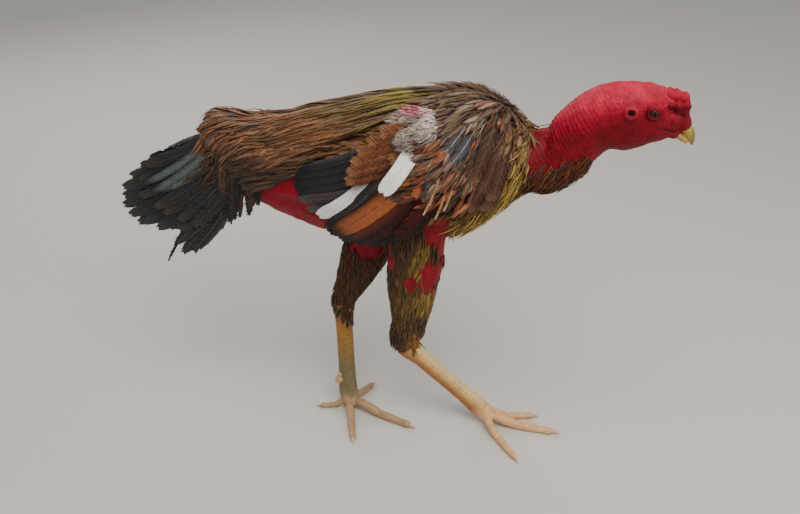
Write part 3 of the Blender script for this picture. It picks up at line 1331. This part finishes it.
# %% Cover the thighs
# Patches of the thighs' feathers as for the trunk, and the bare spots: forward, up and half sizes.
THIGH_PATCHES = [
    (0.010, 0.205, 0.020, 0.040, "5c4418"), (0.044, 0.212, 0.022, 0.022, "86682a"),
    (0.036, 0.272, 0.014, 0.030, "7a5c20"), (0.027, 0.143, 0.011, 0.018, "8a5a1e"),
    (0.000, 0.136, 0.014, 0.022, "3a2018"), (0.012, 0.290, 0.018, 0.020, "452c12"),
    (0.070, 0.288, 0.010, 0.034, "94683a"),
]
THIGH_BASE = "43290e"
BARE_SPOTS = [
    (0.056, 0.318, 0.018, 0.034), (0.049, 0.248, 0.014, 0.026), (-0.005, 0.270, 0.012, 0.020),
    (-0.044, 0.248, 0.026, 0.017), (0.026, 0.236, 0.012, 0.007), (0.062, 0.282, 0.007, 0.016),
]


def thigh_tone(points):
    """The thighs' patches, with single feathers darker or more olive."""
    turn = draw.choice((0.6, 0.85, 1.0, 1.25), len(points))[:, None]
    return blend(points, THIGH_PATCHES, THIGH_BASE) * turn


def thigh_cover(points):
    """Where thigh feathers grow: not on the bare spots, and not on the hock."""
    x, y, z = points.T
    bare_here = np.zeros_like(x)
    for spot in BARE_SPOTS:
        for drop in (0.0, 0.006, 0.012):
            away = away_from(points - (0, 0, drop), *spot)
            bare_here = np.maximum(bare_here, np.exp(-(away**2)))
    bare_here = np.clip(bare_here * (1.25 + 0.5 * noise(points, 0.010, 21)), 0, 1)
    belly = ((np.abs(y) < 0.012) | (x < -0.055)) * (z > LEG_TOP)
    low = np.where(x < -0.030, 0.1620 - 1.03 * (x + 0.104), 0.132) + 0.007 * noise(points, 0.006, 25)
    return on_thighs(points) * (z > low) * (1 - bare_here) ** 2 * (1 - belly)


grow("thigh_feathers", LIMBS, thigh_cover, 0.0036, 20000, 0.015, 0.0040, 0.0016,
     ROUND, PLUMAGE, thigh_tone, spread=0.10, pale=0.06, tip=0.08, edge=0.82, shaded=0.35)
grow("thigh_strands", LIMBS, thigh_cover, 0.0038, 16000, 0.018, 0.0010, 0.0022,
     STRAND, PLUMAGE, thigh_tone, gain=1.3, hug=0.85, spread=0.12, pale=0.10, tip=0.15, edge=0.85,
     shaded=0.3)

# %% [markdown]
# ## How a large feather is built
# A plain blade with a pattern would have a smooth edge. So a large feather of wing or tail is a thin closed
# sheet whose rows run along its barbs, and its edge is toothed as a real vane's edge is. A shaft strip lies
# on top, and loose barbs stand at the edge where it is worn. A place function, made for each feather, says
# where a point along it and across it lies.

# %% Shape the vane
VANE_START = np.linspace(0.02, 0.975, 26)[:, None]
VANE_COLUMNS = np.array((-1, -0.93, -0.5, 0, 0.5, 0.93, 1))


def vane_half(s, taper):
    """Half width along a large feather, as a share of the full one. It narrows from taper on."""
    end = np.clip((s - taper) / (1 - taper), 0, 1)
    return np.clip(s / 0.10, 0.02, 1) ** 0.6 * np.sqrt(np.clip(1 - end ** (3 - 1.5 * taper), 0, 1))


def upward(place, s, across, outward):
    """Normals of a feather's surface, turned to the side that outward names."""
    here = place(s, across)
    normal = unit(np.cross(place(s + 0.01, across) - here, place(s, across + 0.0004) - here))
    return normal * np.sign((normal * outward).sum(axis=-1, keepdims=True))


def vane_of(place, length, width, loose, outward, tint, taper):
    """One feather's vane: a closed ring across it for each row of barbs, torn where it is worn."""
    worn = draw.random((len(VANE_START), 2))
    torn = 1 - 1.6 * loose * worn**5 - 0.01 * worn
    reach = vane_half(VANE_START, taper) * width / 2 * np.where(VANE_COLUMNS < 0, torn[:, :1], torn[:, 1:])
    across = VANE_COLUMNS * reach
    s = VANE_START + np.abs(across) * (1.35 - 0.5 * VANE_START) / length
    path, normal = place(s, across), upward(place, s, across, outward)
    uneven = np.exp(draw.normal(0, 0.05 + 0.2 * loose, (len(s), 1)))[:, :, None]
    tone = tint(across / (width / 2), s) * uneven
    turn = np.cross(path[1:, :-1] - path[:-1, :-1], path[:-1, 1:] - path[:-1, :-1])
    if (turn * normal[:-1, :-1]).sum() < 0:
        path, normal, tone, across = path[:, ::-1], normal[:, ::-1], tone[:, ::-1], across[:, ::-1]
    rings = np.concatenate([path + normal * 0.0002, (path - normal * 0.0002)[:, ::-1]], axis=1)
    colours = np.concatenate([tone, tone[:, ::-1] * 0.6], axis=1)
    return rings, np.concatenate([across, across[:, ::-1]], axis=1), VANE_START[:, 0] * length, colours


print("rows and columns of a vane:", VANE_START.size, VANE_COLUMNS.size)

# %% [markdown]
# ## Loose barbs and shaft
# Barbs leave the shaft in pairs at a slant. Those of a worn feather come apart, so the looser a kind is,
# the more its barbs differ in length and slant, and the higher their ends rise. The shaft is one pale or
# dark strip.

# %% Shape the barbs and the shaft
BARB_ROWS = np.linspace(0, 1, 4)
SHAFT_ROWS = np.linspace(0, 0.97, 9)[None, :]


def barbs_of(place, length, width, count, loose, outward, tint, taper):
    """Loose barb strips of one feather: path, normals, widths and colours over strips and rows."""
    start = np.repeat(np.linspace(0.03, 0.97, count), 2) + draw.normal(0, 0.4 / count, 2 * count)
    start = np.clip(start, 0.0, 0.98)[:, None]
    hand = np.tile((1.0, -1.0), count)[:, None]
    reach = vane_half(start, taper) * width / 2 * (1.04 + loose * draw.normal(0, 0.30, start.shape))
    across = hand * reach * BARB_ROWS
    slant = (1.35 - 0.5 * start) * (1 + 0.1 + loose * draw.normal(0, 0.5, start.shape))
    s = start + np.abs(across) * slant / length * (0.8 + 0.35 * BARB_ROWS)
    path, normal = place(s, across), upward(place, s, across, outward)
    raised = np.abs(draw.normal(0, 0.0001 + 0.010 * loose**2, start.shape)) * BARB_ROWS
    path = path + normal * (0.0002 + raised)[:, :, None]
    wide = 0.0011 * (1 + loose) * np.array((0.9, 1.0, 0.8, 0.3)) + s * 0
    uneven = np.exp(draw.normal(0, 0.03 + 0.30 * loose, start.shape))[:, :, None]
    tone = tint(across / (width / 2), s) * uneven
    return path, normal, wide, np.stack([tone * 0.95, tone * 1.04, tone * 0.95, tone * 0.8], axis=2)


def shaft_of(place, width, outward, tone):
    """The shaft strip of one feather."""
    across = SHAFT_ROWS * 0
    path, normal = place(SHAFT_ROWS, across), upward(place, SHAFT_ROWS, across, outward)
    colours = np.tile(tone, (1, SHAFT_ROWS.size, 4, 1))
    return path + normal * 0.0003, normal, (0.0012 - 0.0008 * SHAFT_ROWS) * min(1.0, width / 0.014), colours


print("rows of a barb and of a shaft:", BARB_ROWS.size, SHAFT_ROWS.size)

# %% [markdown]
# ## A wing or a tail as three pieces
# The vanes of one wing share a mesh, and so do its shafts and its loose barbs. That keeps the list of
# pieces short, and each of the three can ask for its own thickness. A table of kinds gives every feather
# its size and its tones, and looser kinds get more of the loose barbs.


# %% Join large feathers into pieces
def build_plumes(name, plumes, paint, slot, nodes, taper=0.66):
    """Three pieces, vanes, shafts and loose barbs, from a list of plumes (place, length, kind, outward)."""
    vanes, barbs, shafts = [], [], []
    for place, length, kind, outward in plumes:
        width, _, count, loose, codes = KINDS[kind]
        tint = partial(kind_tone, kind)
        barbs_here = max(2, int(count * min(1.0, 2.6 * loose)))
        vanes.append(vane_of(place, length, width, loose, outward, tint, taper))
        barbs.append(barbs_of(place, length, width, barbs_here, loose, outward, tint, taper))
        shafts.append(shaft_of(place, width, outward, rgbs(codes)[-1]))
    rings, across, along, colours = (np.stack(group) for group in zip(*vanes))
    sheet(f"{name}_vanes", rings, across, along, colours, paint, slot, nodes)
    for suffix, parts in (("barbs", barbs), ("shafts", shafts)):
        joined = (np.concatenate(group) for group in zip(*parts))
        strips(f"{name}_{suffix}", *joined, paint, slot, thickness=0.00022, droop=0.0)


print("pieces for each set of large feathers: 3")

# %% [markdown]
# ## Kinds of wing feathers
# A folded wing shows its feathers in order: dark primaries behind, two white ones, slate and chestnut
# secondaries with black ends, maroon below, and small mixed ones towards the shoulder. Each kind has its
# width, its height over the wing's surface, how many barbs it has and how loose they are, and its tones.

# %% Name the kinds
# Each kind: width, height over the wing, barbs per side, looseness, and its tones: the rear edge, the
# middle, the front edge, the tip, the root and the shaft.
KINDS = {
    "primary": (0.0160, -0.0030, 44, 0.05, "3a393e 1e1b1e 241f20 17151a 241c1a 3c393a"),
    "primary_brown": (0.0120, -0.0022, 36, 0.14, "6c5038 41301f 332519 58422e 2b2018 7c6346"),
    "soft": (0.0150, -0.0012, 36, 0.16, "4d4341 3a3130 312827 534846 2e2624 6a5c58"),
    "white2": (0.0165, 0.0012, 44, 0.01, "e4ded6 efeae3 e6e0d8 f0ece6 8c8680 e8e2da"),
    "slate": (0.0150, 0.0030, 44, 0.03, "1f1c1c 2c2827 201c1b 100e0e 4a4442 5a5350"),
    "chest1": (0.0250, 0.0050, 50, 0.04, "1a100c a05830 a65c2c 120c0a 783e24 5c2f18"),
    "chest2": (0.0220, 0.0042, 50, 0.05, "74341a 5c2210 380f0a 0e0807 4c2210 3c180c"),
    "chest3": (0.0190, 0.0034, 46, 0.07, "44150a 300c07 220806 0d0606 44190f 2c0f09"),
    "black": (0.0180, 0.0012, 46, 0.05, "120d0b 0c0908 0e0a09 080606 1c110c 1c1410"),
    "white1": (0.0185, 0.0135, 44, 0.01, "efeae3 f4f0ea efeae3 f6f3ee e2ddd6 f0ece6"),
    "maroon": (0.0175, 0.0060, 36, 0.16, "50110a 3c0905 320704 260604 58190d 5c2412"),
    "column": (0.0130, 0.0075, 34, 0.20, "8a371b 984522 723116 a4623a 54220f b8845c"),
    "grey": (0.0125, 0.0082, 38, 0.16, "3a3738 4d4a4c 383436 2e2b2b 37322d a09e9e"),
    "cream": (0.0025, 0.0120, 20, 0.20, "8a6040 a88258 7c5838 d2b894 5c3620 d2b894"),
    "gloss": (0.0165, 0.0080, 38, 0.16, "33211a 482b1d 3a241a 5e4230 2c1a13 6a5240"),
    "fuzz": (0.0140, 0.0050, 26, 0.28, "804a2d 6d3e27 593321 8a5e3e 4a2c1c 8c5c3a"),
}


def kind_tone(kind, u, v):
    """A kind's tone at u across, from the rear edge at -1 to the front edge at 1, and v along."""
    rear, middle, front, tip, root, _ = rgbs(KINDS[kind][-1])
    colour = middle + (rear - middle) * smooth_step(-0.25, -0.95, u)[..., None]
    colour = colour + (front - middle) * smooth_step(0.25, 0.95, u)[..., None]
    colour = colour + (tip - colour) * smooth_step(0.78, 0.97, v)[..., None]
    return colour + (root - colour) * smooth_step(0.45, 0.05, v)[..., None]


print("kinds of wing feathers:", len(KINDS))

# %% [markdown]
# ## How a feather lies on the side
# Each large feather could be placed and turned in space. But a folded wing is nearly flat, so it is enough
# to lay each feather out on the bird's side by its root and its tip, with a slight bow. A function of
# forward and up then says how far out the wing's surface is there, and the feather's own level and tilt are
# added. Across, it curves down a little.


# %% Lay a feather against the side
def on_flank(side, root, tip, depth_of, level, bow, tilt):
    """A feather's place function for one that lies against the bird's side."""
    root, run = np.array(root), np.array(tip) - np.array(root)
    length = math.hypot(*run)
    beside = np.array((-run[1], run[0])) / length
    beside = beside * (1 if beside[0] > 0 else -1)

    def place(s, across):
        bent = bow * length * np.sin(np.pi * np.clip(s, 0, 1)) + across
        spot = root + s[..., None] * run + bent[..., None] * beside
        rise = level * np.clip(0.35 + s * 1.6, 0, 1) + tilt * across - 14.0 * across**2
        depth = depth_of(spot[..., 0], spot[..., 1]) + rise
        return np.stack([spot[..., 0], side * depth, spot[..., 1]], axis=-1)

    return place, length


def rows_of(lines):
    """A table's rows: a kind, then a root and a tip, each forward and up in mm, which become metres."""
    words = lines.split()
    groups = (words[i : i + 5] for i in range(0, len(words), 5))
    return [(kind, *(float(word) / 1000 for word in group)) for kind, *group in groups]


print("a first row:", rows_of("primary 5 422 -104 371"))

# %% [markdown]
# ## Wings
# Each row of the table is one feather, placed as the photograph shows it. The left wing takes the same rows
# with small random slips, so that the two wings aren't mirror images.

# %% Lay the wing feathers
WING_DEPTH, WING_MIDDLE = 0.0775, (0.025, 0.365)
WING_ROWS = rows_of("""
    primary 5 422 -104 371   primary 5 412 -114 360   primary 5 403 -117 349   primary 5 394 -112 341
    primary_brown 6 390 -99 335   soft 12 384 -112 331   soft 12 376 -101 320   white2 -16 378.5 -85 317.5
    slate 24 419 -78.5 301.5   white1 36 431 0 372.5   black 30 371 -76 292   black 36 362 -62 285
    black 40 352 -44 283   black 46 346 -22 288   black 50 346 -3 299   chest1 40 405 -70 296.5
    chest2 43 392 -58 288   chest3 52 378 -40 286   maroon 59 387 10 306   maroon 64 390 20 322
    maroon 70 392 30 338   maroon 77 392 47 347   maroon 84 396 58 349   maroon 92 392 74 350
    column 44 424 21 388   column 52 418 34 369   column 60 416 46 363   column 66 420 56 372
    grey 81 439 46 400   grey 91 435 59 393   grey 77 423 44 378   cream 61 401 44 349   cream 70 394 57 345
    cream 62 408 51 362   cream 78 401 66 356   gloss 111 446 92 383   gloss 122 438 104 373
    gloss 102 427 77 370   gloss 92 413 68 360   gloss 127 425 113 362   gloss 112 404 90 352
    gloss 124 404 108 350   fuzz 42 444 6 404   fuzz 26 438 -6 430   fuzz 24 432 -20 419
    fuzz 21 426 -31 408   fuzz 19 418 -38 396   fuzz 16 409 -42 385   fuzz 14 402 -44 375
""")


def wing_depth(x, z):
    """How far out the folded wing's surface lies."""
    fall = np.where(z > WING_MIDDLE[1], 4.2, 3.4) * (z - WING_MIDDLE[1]) ** 2
    ends = 3.6 * np.maximum(0, x - 0.050) ** 2 + 0.9 * np.maximum(0, -0.020 - x) ** 2
    return WING_DEPTH - fall - (x - WING_MIDDLE[0]) ** 2 - ends


for side, label in ((-1, "right"), (1, "left")):
    plumes = []
    for number, (kind, root_x, root_z, tip_x, tip_z) in enumerate(WING_ROWS):
        slip = draw.normal(0, 0.0012, 4) if side > 0 else np.zeros(4)
        root, tip = np.array((root_x, root_z)) + slip[:2], np.array((tip_x, tip_z)) + slip[2:]
        level = KINDS[kind][1] + 0.00035 * (number % 4)
        place_of, length = on_flank(side, root, tip, wing_depth, level, 0.03, 0.06)
        plumes.append((place_of, length, kind, (0, side, 0)))
    build_plumes(f"wing_{label}", plumes, flight_vane, "wing_feather", [f"wing_{label}"])

# %% [markdown]
# ## Coverts
# Small feathers cover the roots of the large ones towards the shoulder. They differ in colour from one to
# the next, and they lie on the outer surface, between and over the large feathers.

# %% Add small coverts
COVERTS = rgbs("782e15 5a1c0e 86401f 463634 381c15 682e16 92522c")


def covert_cover(points):
    return (np.abs(points[:, 1]) > 0.045) * box_of(points, (0.030, 0.368), (0.128, 0.425), 0.008)


grow("wing_coverts", OUTER, covert_cover, 0.0060, 7000, 0.024, 0.0062, 0.0030,
     ROUND, COVERT, turns(COVERTS), spread=0.18, pale=0.12, tip=0.25)

# %% [markdown]
# ## Kinds and rows of the tail
# The tail is carried low and narrow, like a steep tent. Its feathers are black with a faint green gloss,
# worn at the ends. A fan of equal feathers would look new, so each one has its own row. Brown and dark
# feathers hang from the rump before it, in turns.

# %% Name the tail's kinds and rows
KINDS.update({
    "tail_sheen": (0.0120, 0.0062, 46, 0.18, "2c302e 4e5653 3c413f 1c1e1e 585f5c 626966"),
    "tail": (0.0230, 0.0, 54, 0.12, "26282a 171819 202123 302f2f 151213 3c3d3e"),
    "tail_cover": (0.0190, 0.0040, 46, 0.16, "2f2d2c 1f1d1c 292624 332e2b 1c1512 424242"),
    "tail_worn": (0.0190, -0.0040, 40, 0.30, "3c3b3b 201e1e 454342 2c2a2a 171414 605c5a"),
    "rump": (0.0100, 0.0, 30, 0.34, "4a3428 3a281e 463024 241c18 744a32 5a4434"),
    "rump_dark": (0.0100, 0.0, 30, 0.34, "221b18 1a1513 2a201c 15110f 4a3022 33291f"),
    "tail_quill": (0.0060, -0.0050, 30, 0.35, "15171a 0f1113 15171a 1c1e21 101214 3a3c3e"),
})
TAIL_ROWS = rows_of("""
    tail -205 385 -322 336   tail -205 380 -340 322   tail -205 375 -352 308   tail -204 369 -356 294
    tail -204 364 -357 281   tail -203 359 -351 269   tail -202 354 -341 260   tail -201 349 -328 258
    tail -200 344 -315 257   tail -199 340 -301 257   tail -198 336 -287 258   tail_cover -212 391 -312 341
    tail_cover -212 389 -328 324   tail_sheen -214 393 -324 313   tail_sheen -212 386 -316 305
    tail_cover -210 379 -328 297   tail_sheen -210 373 -298 310   tail_cover -206 364 -312 286
    tail_cover -203 354 -298 276   tail_cover -201 346 -280 270   tail_cover -200 338 -264 266
    tail_worn -206 334 -283 221   tail_worn -200 328 -268 226   tail_worn -206 338 -290 234
""")
RUMP_ROWS = rows_of("""
    rump -165 372 -163 328   rump_dark -169 372 -171 312   rump -174 372 -178 300
    rump_dark -180 372 -187 290   rump -186 372 -196 282   rump_dark -192 372 -206 275
    rump -198 370 -216 268   rump_dark -203 368 -228 259   rump -208 366 -241 250
    rump_dark -168 376 -170 336   rump -178 376 -184 318   rump_dark -189 376 -200 302
    rump -200 376 -220 290   rump_dark -210 374 -238 280
""")
RIDGE_ROWS = rows_of("tail -208 386 -334 322   tail_cover -208 388 -290 362")
print("feathers on each side:", len(TAIL_ROWS), len(RUMP_ROWS), "on the ridge:", len(RIDGE_ROWS))

# %% [markdown]
# ## Tail
# Both sides of the tent are laid from the same rows, each feather slipped a little. Every third one lies at
# the same height, so they overlap like tiles. Two flat ones close the ridge, and one loose quill hangs
# below.

# %% Lay the tail feathers
SLIP = 0.0022


def tail_depth(x, z):
    """Half the folded tail's breadth."""
    return 0.0044 + 0.08 * np.maximum(0.0, 0.400 - z) + 0.02 * (-0.200 - x)


def rump_depth(x, z):
    """How far out the hanging rump feathers lie."""
    return 0.037 + 0.30 * np.minimum(0.0, x + 0.168) - 0.15 * np.maximum(0.0, 0.345 - z)


def on_ridge(root, tip):
    """The place function of a tail feather that lies flat on the ridge."""
    root, run = np.array(root), np.array(tip) - np.array(root)

    def place(s, across):
        spot = root + s[..., None] * run
        rise = 0.006 * np.sin(np.pi * np.clip(s, 0, 1)) - 30 * across**2
        return np.stack([spot[..., 0], across * 0.8, spot[..., 1] + rise], axis=-1)

    return place, math.hypot(*run)


# The rows with their depth function, the step in height from one to the next, and the bow.
SIDE_ROWS = [(TAIL_ROWS, tail_depth, 0.0012, 0.04), (RUMP_ROWS, rump_depth, 0.001, 0.03)]
plumes = []
for side in (-1, 1):
    for rows, depth_of, step, bow in SIDE_ROWS:
        for number, (kind, root_x, root_z, *tip) in enumerate(rows):
            tip = np.array(tip) + draw.normal(0, SLIP, 2)
            level = KINDS[kind][1] + step * (number % 3)
            place_of, length = on_flank(side, (root_x, root_z), tip, depth_of, level, bow, -0.05)
            plumes.append((place_of, length, kind, (0, side, 0)))
for kind, root_x, root_z, tip_x, tip_z in RIDGE_ROWS:
    plumes.append((*on_ridge((root_x, root_z), (tip_x, tip_z)), kind, (0, 0, 1)))
place_of, length = on_flank(-1, (-0.214, 0.318), (-0.308, 0.203), tail_depth, -0.005, -0.07, 0.0)
plumes.append((place_of, length, "tail_quill", (0, -1, 0)))
build_plumes("tail", plumes, tail_vane, "tail_feather", ["tail"], taper=0.35)

# %% [markdown]
# ## Saddle
# The saddle's hackles are long and narrow, brown with lighter middles, and run from the back down to the
# tail's root. One layer would leave gaps and a lower edge that looks cut. So there are four: short ones
# that close the tail's sides, darker ones that come out under the wing, the long ones on top, and their
# loose strands.

# %% Cover the saddle
HACKLE_TONES = rgbs("7a482e 8a573a a06c4a 5e3c2a 92603f 503729")
# The hackles' lower edge on the saddle and under the wing: forward, then up.
SADDLE_EDGE = (-0.220, -0.145, -0.115, -0.060, -0.011, 0.045), (0.346, 0.350, 0.386, 0.410, 0.434, 0.462)
FLANK_EDGE = (-0.150, -0.110, -0.060), (0.342, 0.360, 0.386)


def hackle_tone(points):
    """Brown in random turns, mixed with the plumage's map in front."""
    brown = turns(HACKLE_TONES)(points)
    front = smooth_step(-0.10, -0.03, points[:, 0])[:, None]
    dark = 0.75 * smooth_step(0.402, 0.366, points[:, 2]) * smooth_step(-0.05, -0.10, points[:, 0])
    brown = brown * (1 - dark[:, None]) + rgb("2c1f18") * dark[:, None]
    return brown * (1 - front) + feather_colour(points) * front


def saddle_cover(points):
    x, _, z = points.T
    low = np.interp(x, *SADDLE_EDGE)
    return smooth_step(low - 0.006, low + 0.006, z) * (x < 0.045) * (x > -0.216)


def flank_cover(points):
    """Hackles that start under the wing and come out behind its tips."""
    x, y, z = points.T
    low = np.interp(x, *FLANK_EDGE)
    inside = (z < 0.415) * (x < -0.045) * (x > -0.150) * (np.abs(y) > 0.010)
    return smooth_step(low - 0.003, low + 0.003, z) * inside


def hackle_length(points):
    x = points[:, 0]
    return 0.052 + 0.026 * smooth_step(-0.16, -0.06, x) - 0.018 * smooth_step(-0.185, -0.205, x)


def hackle_lift(points):
    """Hackles stand higher over the tail's root, where they bunch into a rounded hump."""
    x, _, z = points.T
    return 0.0030 + 0.0012 * smooth_step(-0.165, -0.205, x) * smooth_step(0.385, 0.405, z)


def base_cover(points):
    """Shorter hackles that close the saddle over the tail's sides."""
    return (np.abs(points[:, 1]) > 0.004) * box_of(points, (-0.226, 0.346), (-0.140, 0.402), 0.006)


grow("saddle_base", OUTER, base_cover, 0.0050, 6000, 0.036, 0.0062, 0.0042,
     LANCE, HACKLE, hackle_tone, gain=0.75, hug=0.6, spread=0.10, pale=0.10, tip=0.04, edge=0.6, stray=0.012)
grow("flank_hackles", SKIN, flank_cover, 0.0048, 6000, 0.050, 0.0062, 0.0060,
     LANCE, HACKLE, hackle_tone, gain=0.62, spread=0.07, pale=0.15, tip=0.06, edge=0.62, stray=0.009)
grow("saddle_hackles", OUTER, saddle_cover, 0.0062, 20000, hackle_length, 0.0068, hackle_lift,
     LANCE, HACKLE, hackle_tone, spread=0.07, pale=0.18, tip=0.08, edge=0.62)
grow("saddle_strands", OUTER, saddle_cover, 0.0056, 20000, hackle_length, 0.0014, hackle_lift,
     STRAND, HACKLE, hackle_tone, gain=1.1, hug=0.92, spread=0.08, pale=0.15, tip=0.1, stray=0.004)

# %% [markdown]
# ## Cape
# The cape on the shoulders is ragged and greyer, with pale shafts, and dark over the spine. It gets shorter
# towards the bare neck. Many thin strands over its feathers make it look frayed.

# %% Cover the shoulders
CAPE_TONES = rgbs("6c5040 543a2c 7c6252 44302a 74452c 564c4a 887264")


def cape_tone(points):
    """Grey-brown in random turns, darker over the spine and warmer in front."""
    tones = turns(CAPE_TONES)(points)
    tones = tones * (1 - smooth_step(0.095, 0.125, points[:, :1]) * np.array((0.15, 0.40, 0.65)))
    dark = 0.75 * smooth_step(0.450, 0.470, points[:, 2])[:, None]
    return 1.25 * tones * (1 - dark) + rgb("4e3a2b") * dark


def cape_cover(points):
    x, _, z = points.T
    return smooth_step(0.046, 0.060, x) * smooth_step(0.148, 0.138, x) * smooth_step(0.392, 0.412, z)


def cape_length(points, share=1.0):
    return share * (0.034 - 0.018 * smooth_step(0.108, 0.134, points[:, 0]))


grow("cape_feathers", OUTER, cape_cover, 0.0066, 9000, cape_length, 0.0068, 0.0030,
     ROUND, PLUMAGE, cape_tone, hug=0.92, spread=0.16, pale=0.25, tip=0.3)
grow("cape_strands", OUTER, cape_cover, 0.0044, 10000, partial(cape_length, share=0.7), 0.0011, 0.0040,
     STRAND, PLUMAGE, cape_tone, gain=1.2, hug=0.85, spread=0.22, tip=0.5)

# %% [markdown]
# ## Breast and throat
# Olive-gold threads edge the breast, where its feathers part from the bare neck. Rusty brown ones hang
# under the crop like a short beard. Both are strands, denser and finer than the trunk's.

# %% Hang the threads
GOLD = rgbs("bf9a46 d4b25c 96722f 745424")
RUST = rgbs("4c1a05 622809 2a0d04 704014")


def fringe_cover(points):
    x, _, z = points.T
    edge = 0.134 - 0.6 * (0.400 - z)
    front = smooth_step(edge - 0.010, edge + 0.006, x) * smooth_step(0.152, 0.145, x)
    return front * smooth_step(0.430, 0.405, z) * smooth_step(0.305, 0.325, z)


def throat_cover(points):
    x, _, z = points.T
    under = 0.390 + 0.30 * np.clip(x - 0.15, 0, 0.07)
    forward = smooth_step(0.146, 0.152, x) * smooth_step(0.222, 0.200, x)
    return forward * smooth_step(under + 0.006, under - 0.004, z)


grow("breast_fringe", OUTER, fringe_cover, 0.0044, 9000, 0.024, 0.0020, 0.0040,
     STRAND, PLUMAGE, turns(GOLD), hug=0.8, spread=0.18, pale=0.1, tip=0.3)
grow("throat_threads", OUTER, throat_cover, 0.0027, 9000, 0.024, 0.0018, 0.0040,
     STRAND, PLUMAGE, turns(RUST), hug=0.7, spread=0.25, pale=0.1, tip=0.25)

# %% [markdown]
# ## Down on the right shoulder
# Feathers are missing on the right shoulder, so the down under them shows, cream in front, tan behind and
# grey below, with pink skin along its top. Down has no firm vane. So it is a layer of soft lances with a
# fluff of very thin strands over it, and the pink skin is a close layer of flat ones.

# %% Fluff up the down
# The down's and the pink skin's places: forward, up and half sizes. Then the down's patches of colour.
DOWN_PLACES = [
    (0.019, 0.4345, 0.014, 0.0080), (0.044, 0.4380, 0.011, 0.0100), (0.026, 0.4225, 0.009, 0.0075),
]
PINK_PLACE = 0.028, 0.4445, 0.017, 0.0036
DOWN_PATCHES = [
    (0.010, 0.431, 0.016, 0.009, "cdbfa6"), (0.024, 0.417, 0.012, 0.009, "85746c"),
    (0.045, 0.444, 0.011, 0.009, "f3e2d6"), (0.027, 0.4415, 0.020, 0.0030, "cc9a94"),
]
DOWN_BASE = "b8a898"
DOWN_LIGHTS = np.array([[0.62], [0.85], [1.0], [1.15]])
PINK = rgbs("d0808c c46c7c c88a80 b8706a")


def down_tone(points):
    """The down's patches, in random turns of light and shade."""
    turn = turns(DOWN_LIGHTS)(points)
    return blend(points, DOWN_PATCHES, DOWN_BASE) * turn


def down_cover(points):
    away = np.min([away_from(points, *spot) for spot in DOWN_PLACES], axis=0)
    return (points[:, 1] < 0) * (away + 0.35 * noise(points, 0.008, 24) < 1)


def pink_cover(points):
    away = away_from(points, *PINK_PLACE) + 0.5 * noise(points, 0.006, 26)
    return (points[:, 1] < 0) * (away < 1)


grow("shoulder_pink", OUTER, pink_cover, 0.0010, 6000, 0.006, 0.0022, 0.0046,
     STRAND, DOWN, turns(PINK), hug=0.95, spread=0.06, pale=0.0, tip=0.0, edge=1.0)
grow("shoulder_down", OUTER, down_cover, 0.0022, 5000, 0.010, 0.0026, 0.0050,
     LANCE, DOWN, down_tone, hug=0.85, spread=0.25, pale=0.0, tip=0.0, edge=0.95)
grow("shoulder_fluff", OUTER, down_cover, 0.0011, 12000, 0.012, 0.0005, 0.0064,
     STRAND, DOWN, down_tone, hug=0.75, spread=0.30, pale=0.0, tip=0.0, edge=0.95)
